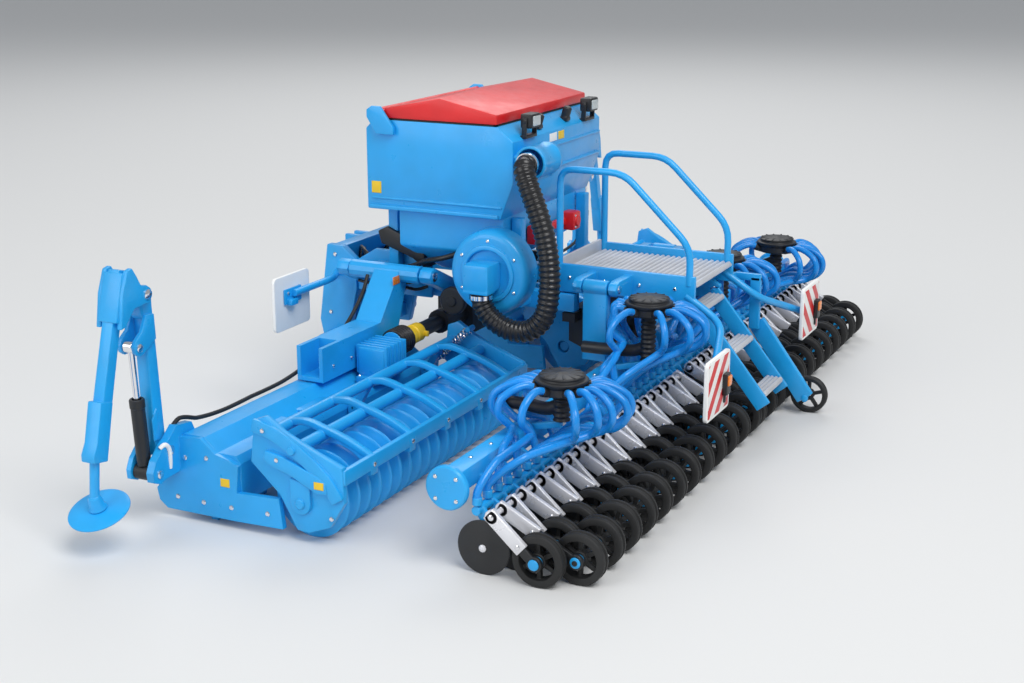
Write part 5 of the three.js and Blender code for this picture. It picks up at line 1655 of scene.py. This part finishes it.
@dataclass
class SeedWing:
    """One half of the sowing gear: bar, coulters, press arms, wheels, heads and hoses."""

    pitch: float = 3.9
    rows: int = 24
    bar_y: float = 20.9
    bar_z: float = 16.5
    shaft: Flat = (25.2, 11.6)
    disc: float = 5.0
    arm_head: Flat = (29.0, 11.8)
    front_axle: float = 36.9
    rear_axle: float = 42.8
    wheel: float = 4.7
    heads: tuple[Flat, Flat] = ((23.4, 32.5), (66.3, 28.0))
    head_y: float = 29.4
    loop: float = 11.2
    beam_room: float = 14.4
    lug_room: float = 7.2
    ranks: Flat = (30.4, 26.4)
    hinge_z: float = 34.0
    hose: float = 0.72
    bend: float = 8.6

    def row_x(self, row: int) -> float:
        """The distance of a seed row from the centre line."""
        return self.pitch * (row + 0.5)

    def build(self) -> None:
        """Make the pieces of both seed wings."""
        self.bar()
        self.coulters()
        self.arms()
        self.wheels("press_wheels_front", "press_front_{}", 1, self.front_axle)
        self.wheels("press_wheels_rear", "press_rear_{}", 0, self.rear_axle)
        for name, (x, z), shift, first in (("inner", self.heads[0], 1.0, 0),
                                           ("outer", self.heads[1], -1.0, self.rows // 2)):
            self.distributor(name, x, z, x + shift)
            self.hoses(name, x, z, first)

    def bar(self) -> None:
        """The square bar with round end plates, hinge upright and carriers."""
        y, z = self.bar_y, self.bar_z
        bar, screws = Shape(), Shape()
        bar.block((3.2, y - 2, z - 2), (93.8, y + 2, z + 2), 0.5)
        for x in (3, 92.6):
            bar.rod((x, y - 0.5, z - 1), (x + 1.4, y - 0.5, z - 1), 4.0, 56, 0.3)
        for turn in range(4):
            way = math.radians(45 + 90 * turn)
            screws.bolt(
                (94, y - 0.5 + 2.8 * math.cos(way), z - 1 + 2.8 * math.sin(way)), ACROSS, 0.4, 0.3)
        for row in range(1, self.rows - 1, 2):
            x = self.row_x(row) + self.pitch / 2
            bar.bar((x, y, z - 0.5), (x, 24.8, 13.7), (1, 2))
            screws.bolt((x, y, z + 2), UP, 0.42, 0.35)
        bar.block((18.8, 13.7, 18.3), (21.2, 19.1, self.hinge_z), 0.35)
        bar.rod((20, 13.7, self.hinge_z), (20, 19.1, self.hinge_z), 1.6, 32, 0.15)
        for x, _ in self.heads:
            bar.bar((x, y + 0.5, 18.1), (x, self.head_y, 20.1), (1.2, 1.2))
        bar.pair("seed_bar_beam", "seed_wing_{}", BLUE, ["seed_bar"])
        screws.pair("seed_bar_screws", "seed_wing_{}", STEEL)

    def coulters(self) -> None:
        """Sowing discs in two ranks on curved arms from one shaft."""
        discs, arms, hubs = Shape(), Shape(), Shape()
        y, z = self.shaft
        for row in range(self.rows):
            x = self.row_x(row)
            middle = self.ranks[row % 2]
            discs.turned([(-0.42, 0), (-0.42, 1.7), (-0.2, 2.2), (-0.18, 4.6), (-0.05, self.disc),
                          (0.05, self.disc), (0.18, 4.6), (0.2, 2.2), (0.42, 1.7), (0.42, 0)],
                         (x, middle, self.disc), sides=48)
            line = arc([(y, z), ((y + middle) / 2 + 0.9, 9.0), (middle, self.disc)])
            arms.slab(band(line, 2.0), Axis.X, x - 1.35, x - 0.6, 0.18)
            arms.rod((x - 1.35, middle, self.disc), (x - 0.5, middle, self.disc), 1.3, 28, 0.12)
            hubs.bolt((x + 0.42, middle, self.disc), ACROSS, 0.7, 0.35)
        arms.rod(
            (self.row_x(0) - 0.6, y, z), (self.row_x(self.rows - 1) + 0.6, y, z), 0.85, 24, 0.1)
        discs.pair("coulter_discs", "seed_wing_{}", BLACK, ["coulters"])
        arms.pair("coulter_arms", "seed_wing_{}", BLUE)
        hubs.pair("coulter_hubs", "seed_wing_{}", SILVER)

    def arms(self) -> None:
        """Flat silver arms that carry the axles of the press wheels."""
        arms, lower, caps, bolts = Shape(), Shape(), Shape(), Shape()
        y, z = self.arm_head
        for k in range(1, self.rows + 1):
            x = self.pitch * k
            axle = self.front_axle if (k - 1) % 2 else self.rear_axle
            way = Vector((axle - y, self.wheel - z)).normalized()
            stop = (axle - way.x * 1.0, self.wheel - way.y * 1.0)
            sleeve = (y + way.x * 7.6, z + way.y * 7.6)
            arms.slab(band([
                (y - way.x * 0.9, z - way.y * 0.9), sleeve], 2.5), Axis.X, x - 0.45, x + 0.45, 0.14)
            lower.slab(band(
                [(y + way.x * 7.0, z + way.y * 7.0), stop], 1.7), Axis.X, x - 0.36, x + 0.36, 0.12)
            arms.rod((x - 0.45, y, z), (x + 0.45, y, z), 1.25, 28, 0.12)
            lower.turned([(-0.42, 0.62), (-0.42, 1.3), (-0.3, 1.4), (0.3, 1.4), (0.42, 1.3),
                          (0.42, 0.62), (-0.42, 0.62)], (x, axle, self.wheel), sides=32)
            caps.turned([(0.58, 0), (0.58, 0.95), (0.66, 1.0), (0.78, 0.9), (0.84, 0.5), (0.86, 0)],
                        (x - 0.12, axle, self.wheel), (x + 1, axle, self.wheel), 24)
            bolts.bolt((x + 0.45, y, z), ACROSS, 0.55, 0.3)
            bolts.bolt(
                (x + 0.45, sleeve[0] - way.x * 0.9, sleeve[1] - way.y * 0.9), ACROSS, 0.45, 0.25)
        arms.rod((3.3, y, z), (self.pitch * self.rows + 0.45, y, z), 0.5, 20, 0.05)
        arms.pair("press_arm_bars", "seed_wing_{}", SILVER, ["press_arms"])
        lower.pair("press_arm_ends", "seed_wing_{}", BLACK)
        caps.pair("press_arm_caps", "seed_wing_{}", BLUE)
        bolts.pair("press_arm_bolts", "seed_wing_{}", STEEL)

    def wheels(self, node: str, body: str, first: int, axle: float) -> None:
        """One gang of press wheels with grooved rims, spokes and hub caps.

        Args:
            node: The name of the gang's CAD node without the side's ending.
            body: The gang's body.
            first: The first row it presses.
            axle: Where its axle lies along the machine.
        """
        tyres, caps = Shape(), Shape()
        r = self.wheel
        for row in range(first, self.rows, 2):
            x = self.row_x(row)
            at = (x, axle, r)
            tyres.turned([
                (-1.2, r - 1.35), (-1.2, r - 0.45), (-1.05, r - 0.1), (-0.85, r), (-0.45, r),
                (-0.35, r - 0.3), (-0.12, r - 0.3), (0, r - 0.05), (0.12, r - 0.3), (0.35, r - 0.3),
                (0.45, r), (0.85, r), (1.05, r - 0.1), (1.2, r - 0.45), (1.2, r - 1.35),
                (0.7, r - 1.55), (-0.7, r - 1.55), (-1.2, r - 1.35)], at)
            tyres.turned([(-0.95, 0), (-0.95, 1.35), (-0.8, 1.5), (0.8, 1.5), (0.95, 1.35),
                          (0.95, 0)], at, sides=28)
            tyres.spokes(at, 6, (1.3, r - 1.4), (0.9, 0.8), 0.14, row)
            caps.turned([(0.85, 0), (0.85, 1.05), (1.1, 1.0), (1.18, 0.7), (1.18, 0)], at, sides=28)
            caps.turned(
                [(-0.85, 0), (-0.85, 1.05), (-1.1, 1.0), (-1.18, 0.7), (-1.18, 0)], at, sides=28)
        low, high = self.row_x(first) - 1.2, self.row_x(self.rows - 2 + first) + 1.2
        tyres.rod((low, axle, r), (high + (1.0 if first else 1.6), axle, r), 0.5, 20, 0.05)
        tyres.pair(node + "_tyres", body, RUBBER, [node])
        caps.pair(node + "_caps", body, BLUE)

    def distributor(self, name: str, x: float, z: float, supply_x: float) -> None:
        """The ribbed mushroom head on its riser.

        Args:
            name: Which of the two heads it is.
            x: The head's distance from the centre line.
            z: The height of the head's underside.
            supply_x: Where its supply pipe starts.
        """
        y, foot = self.head_y, 21.0
        head = Shape().turned(
            [(-2.1, 0), (-2.1, 2.4), (-1.9, 4.2), (-1.7, 4.4), (-0.4, 4.4), (-0.25, 4.55),
             (0, 4.75), (0.25, 4.9), (0.6, 4.9), (0.75, 4.7), (0.8, 4.2), (1.1, 4.1), (1.35, 4.25),
             (1.5, 4.1), (1.6, 3.4), (1.75, 2.2), (1.8, 1.1), (1.9, 0.9), (1.9, 0)], (x, y, z),
            (x, y, z + 1), 64)
        for i in range(12):
            turn = 2 * math.pi * i / 12
            way = Vector((math.cos(turn), math.sin(turn), 0))
            middle = Vector((x, y, z + 1.45))
            head.bar(tuple(middle + way * 0.9), tuple(middle + way * 4.0), (0.35, 0.55),
                     side=(-way.y, way.x, 0), ease=0.1)
        riser = smooth_path([(x, y, foot - 0.2), (x, y, (foot + z) / 2), (x, y, z - 1.6)], 0.16)
        head.sweep(riser, ribs(1.64, 0.28, 1.0), 24)
        pipe = smooth_path([(x, y, foot + 3), (x, y - 2.5, foot + 1.6),
                            (supply_x, y - 7, foot + 1.4), (supply_x, y - 14, foot + 1.2)], 0.4)
        head.sweep(pipe, 1.25, 20)
        head.pair(f"distributor_head_{name}", "seed_wing_{}", BLACK, [f"distributor_{name}"], 40.0)

    def hoses(self, name: str, x: float, z: float, first: int) -> None:
        """The seed hoses from one head down to its coulters.

        Args:
            name: Which of the two heads they leave.
            x: The head's distance from the centre line.
            z: The height of the head's underside.
            first: The first row they feed.
        """
        hoses, cuffs, ends = Shape(), Shape(), Shape()
        y, (shaft_y, shaft_z) = self.head_y, self.shaft
        ring, low = z - 0.3, shaft_z + 1.1
        last = first + self.rows // 2 - 1
        widest = 1.04 * max(abs(self.row_x(first) - x), abs(self.row_x(last) - x))
        for row in range(first, last + 1):
            target = self.row_x(row)
            swing = math.acos((target - x) / widest) * (1 if row % 2 == 0 else -1)
            way = Vector((math.cos(swing), math.sin(swing), 0))
            base = Vector((x, y, 0))
            bend = base + way * self.bend
            fall = target + 0.3 * (bend.x - target)
            reach = self.loop + 0.9 * math.sin(2.4 * row)
            if way.x < 0:
                reach = min(reach, (x - self.beam_room) / -way.x - 0.6)
            if name == "inner" and way.y < -0.5:
                reach = min(reach, self.lug_room)
            points = [tuple(base + way * out + Vector((0, 0, height))) for out,
                      height in ((3.9, ring - 0.9), (7.0, ring + 0.1), (reach, ring - 2.0),
                                 (reach + 0.6, ring - 4.8), (reach - 2.0, ring - 7.4))]
            points += [(fall, (shaft_y + bend.y) / 2 + 0.4, (ring + low) / 2 - 1.0),
                       (target, shaft_y, low + 2), (target, shaft_y, low)]
            line = smooth_path(points, 0.45)
            hoses.sweep(line, self.hose, 18)
            cuffs.rod(
                points[0], tuple(Vector(points[0]).lerp(Vector(points[1]), 0.55)), 0.86, 20, 0.08)
            ends.rod((target, shaft_y, low - 0.1), (target, shaft_y, low + 1.3), 0.88, 20, 0.08)
        hoses.pair(f"seed_hose_set_{name}", "seed_wing_{}", HOSE, [f"seed_hoses_{name}"], 60.0)
        cuffs.pair(f"seed_hose_cuffs_{name}", "seed_wing_{}", BLACK)
        ends.pair(f"seed_hose_ends_{name}", "seed_wing_{}", BLUE)


# ---------------------------------------------------------------- studio


@dataclass
class Studio:
    """The floor, the light and the camera."""

    eye: Point = (0.3091, 0.1383, 0.1103)
    back: Point = (0.8645, 0.4235, 0.2706)
    lens: float = 54.28
    floor_half: float = 6.0
    floor_tone: Point = (0.72, 0.72, 0.71)

    def build(self) -> None:
        """Set up the studio."""
        self.floor()
        self.world()
        self.lamp("key", (0.35, 0.45, 0.75), 0.5, 5.6)
        self.lamp("fill", (0.75, -0.35, 0.4), 0.6, 2.4)
        self.lamp("back", (-0.55, -0.25, 0.6), 0.5, 1.8)
        self.camera()

    def floor(self) -> None:
        """A plain pale floor that takes the shadow."""
        data = bpy.data.meshes.new("floor")
        h = self.floor_half
        data.from_pydata([(-h, -h, 0), (h, -h, 0), (h, h, 0), (-h, h, 0)], [], [(0, 1, 2, 3)])
        material = bpy.data.materials.new("floor")
        material.use_nodes = True
        shader = material.node_tree.nodes["Principled BSDF"]
        shader.inputs["Base Color"].default_value = (*self.floor_tone, 1.0)
        shader.inputs["Roughness"].default_value = 0.75
        data.materials.append(material)
        plane = bpy.data.objects.new("floor", data)
        bpy.context.scene.collection.objects.link(plane)

    def world(self) -> None:
        """Even pale light from all round."""
        world = bpy.data.worlds.new("studio")
        world.use_nodes = True
        sky = world.node_tree.nodes["Background"]
        sky.inputs["Color"].default_value = (0.9, 0.94, 1.0, 1.0)
        sky.inputs["Strength"].default_value = 0.42
        bpy.context.scene.world = world
        bpy.context.scene.view_settings.view_transform = "Standard"

    def lamp(self, name: str, place: Point, size: float, power: float) -> None:
        """Add a soft lamp that faces the model.

        Args:
            name: The lamp's name.
            place: Where it stands, in metres.
            size: The side of its square, in metres.
            power: Its power in watts.
        """
        light = bpy.data.lights.new(name, "AREA")
        light.energy, light.size = power, size
        lamp = bpy.data.objects.new(name, light)
        lamp.location = place
        lamp.rotation_euler = Vector(place).to_track_quat("Z", "Y").to_euler()
        bpy.context.scene.collection.objects.link(lamp)

    def camera(self) -> None:
        """The camera, behind the machine on its left."""
        data = bpy.data.cameras.new("camera")
        data.lens, data.sensor_width, data.clip_start = self.lens, 36.0, 0.01
        camera = bpy.data.objects.new("camera", data)
        camera.location = self.eye
        camera.rotation_euler = Vector(self.back).to_track_quat("Z", "Y").to_euler()
        bpy.context.scene.collection.objects.link(camera)
        bpy.context.scene.camera = camera


def main() -> None:
    """Build the machine, then the studio round it."""
    logging.basicConfig(level=logging.INFO, format="%(message)s", stream=sys.stdout)
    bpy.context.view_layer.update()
    for assembly in (Hopper(), AirSupply(), CentreFrame(), Boards(), Platform(
        ), Ladder(), GroundWheel(), HarrowWing(), PackerRoller(), Marker(), SeedWing(), Studio()):
        LOG.info("building %s", type(assembly).__name__)
        assembly.build()


if __name__ == "__main__":
    main()
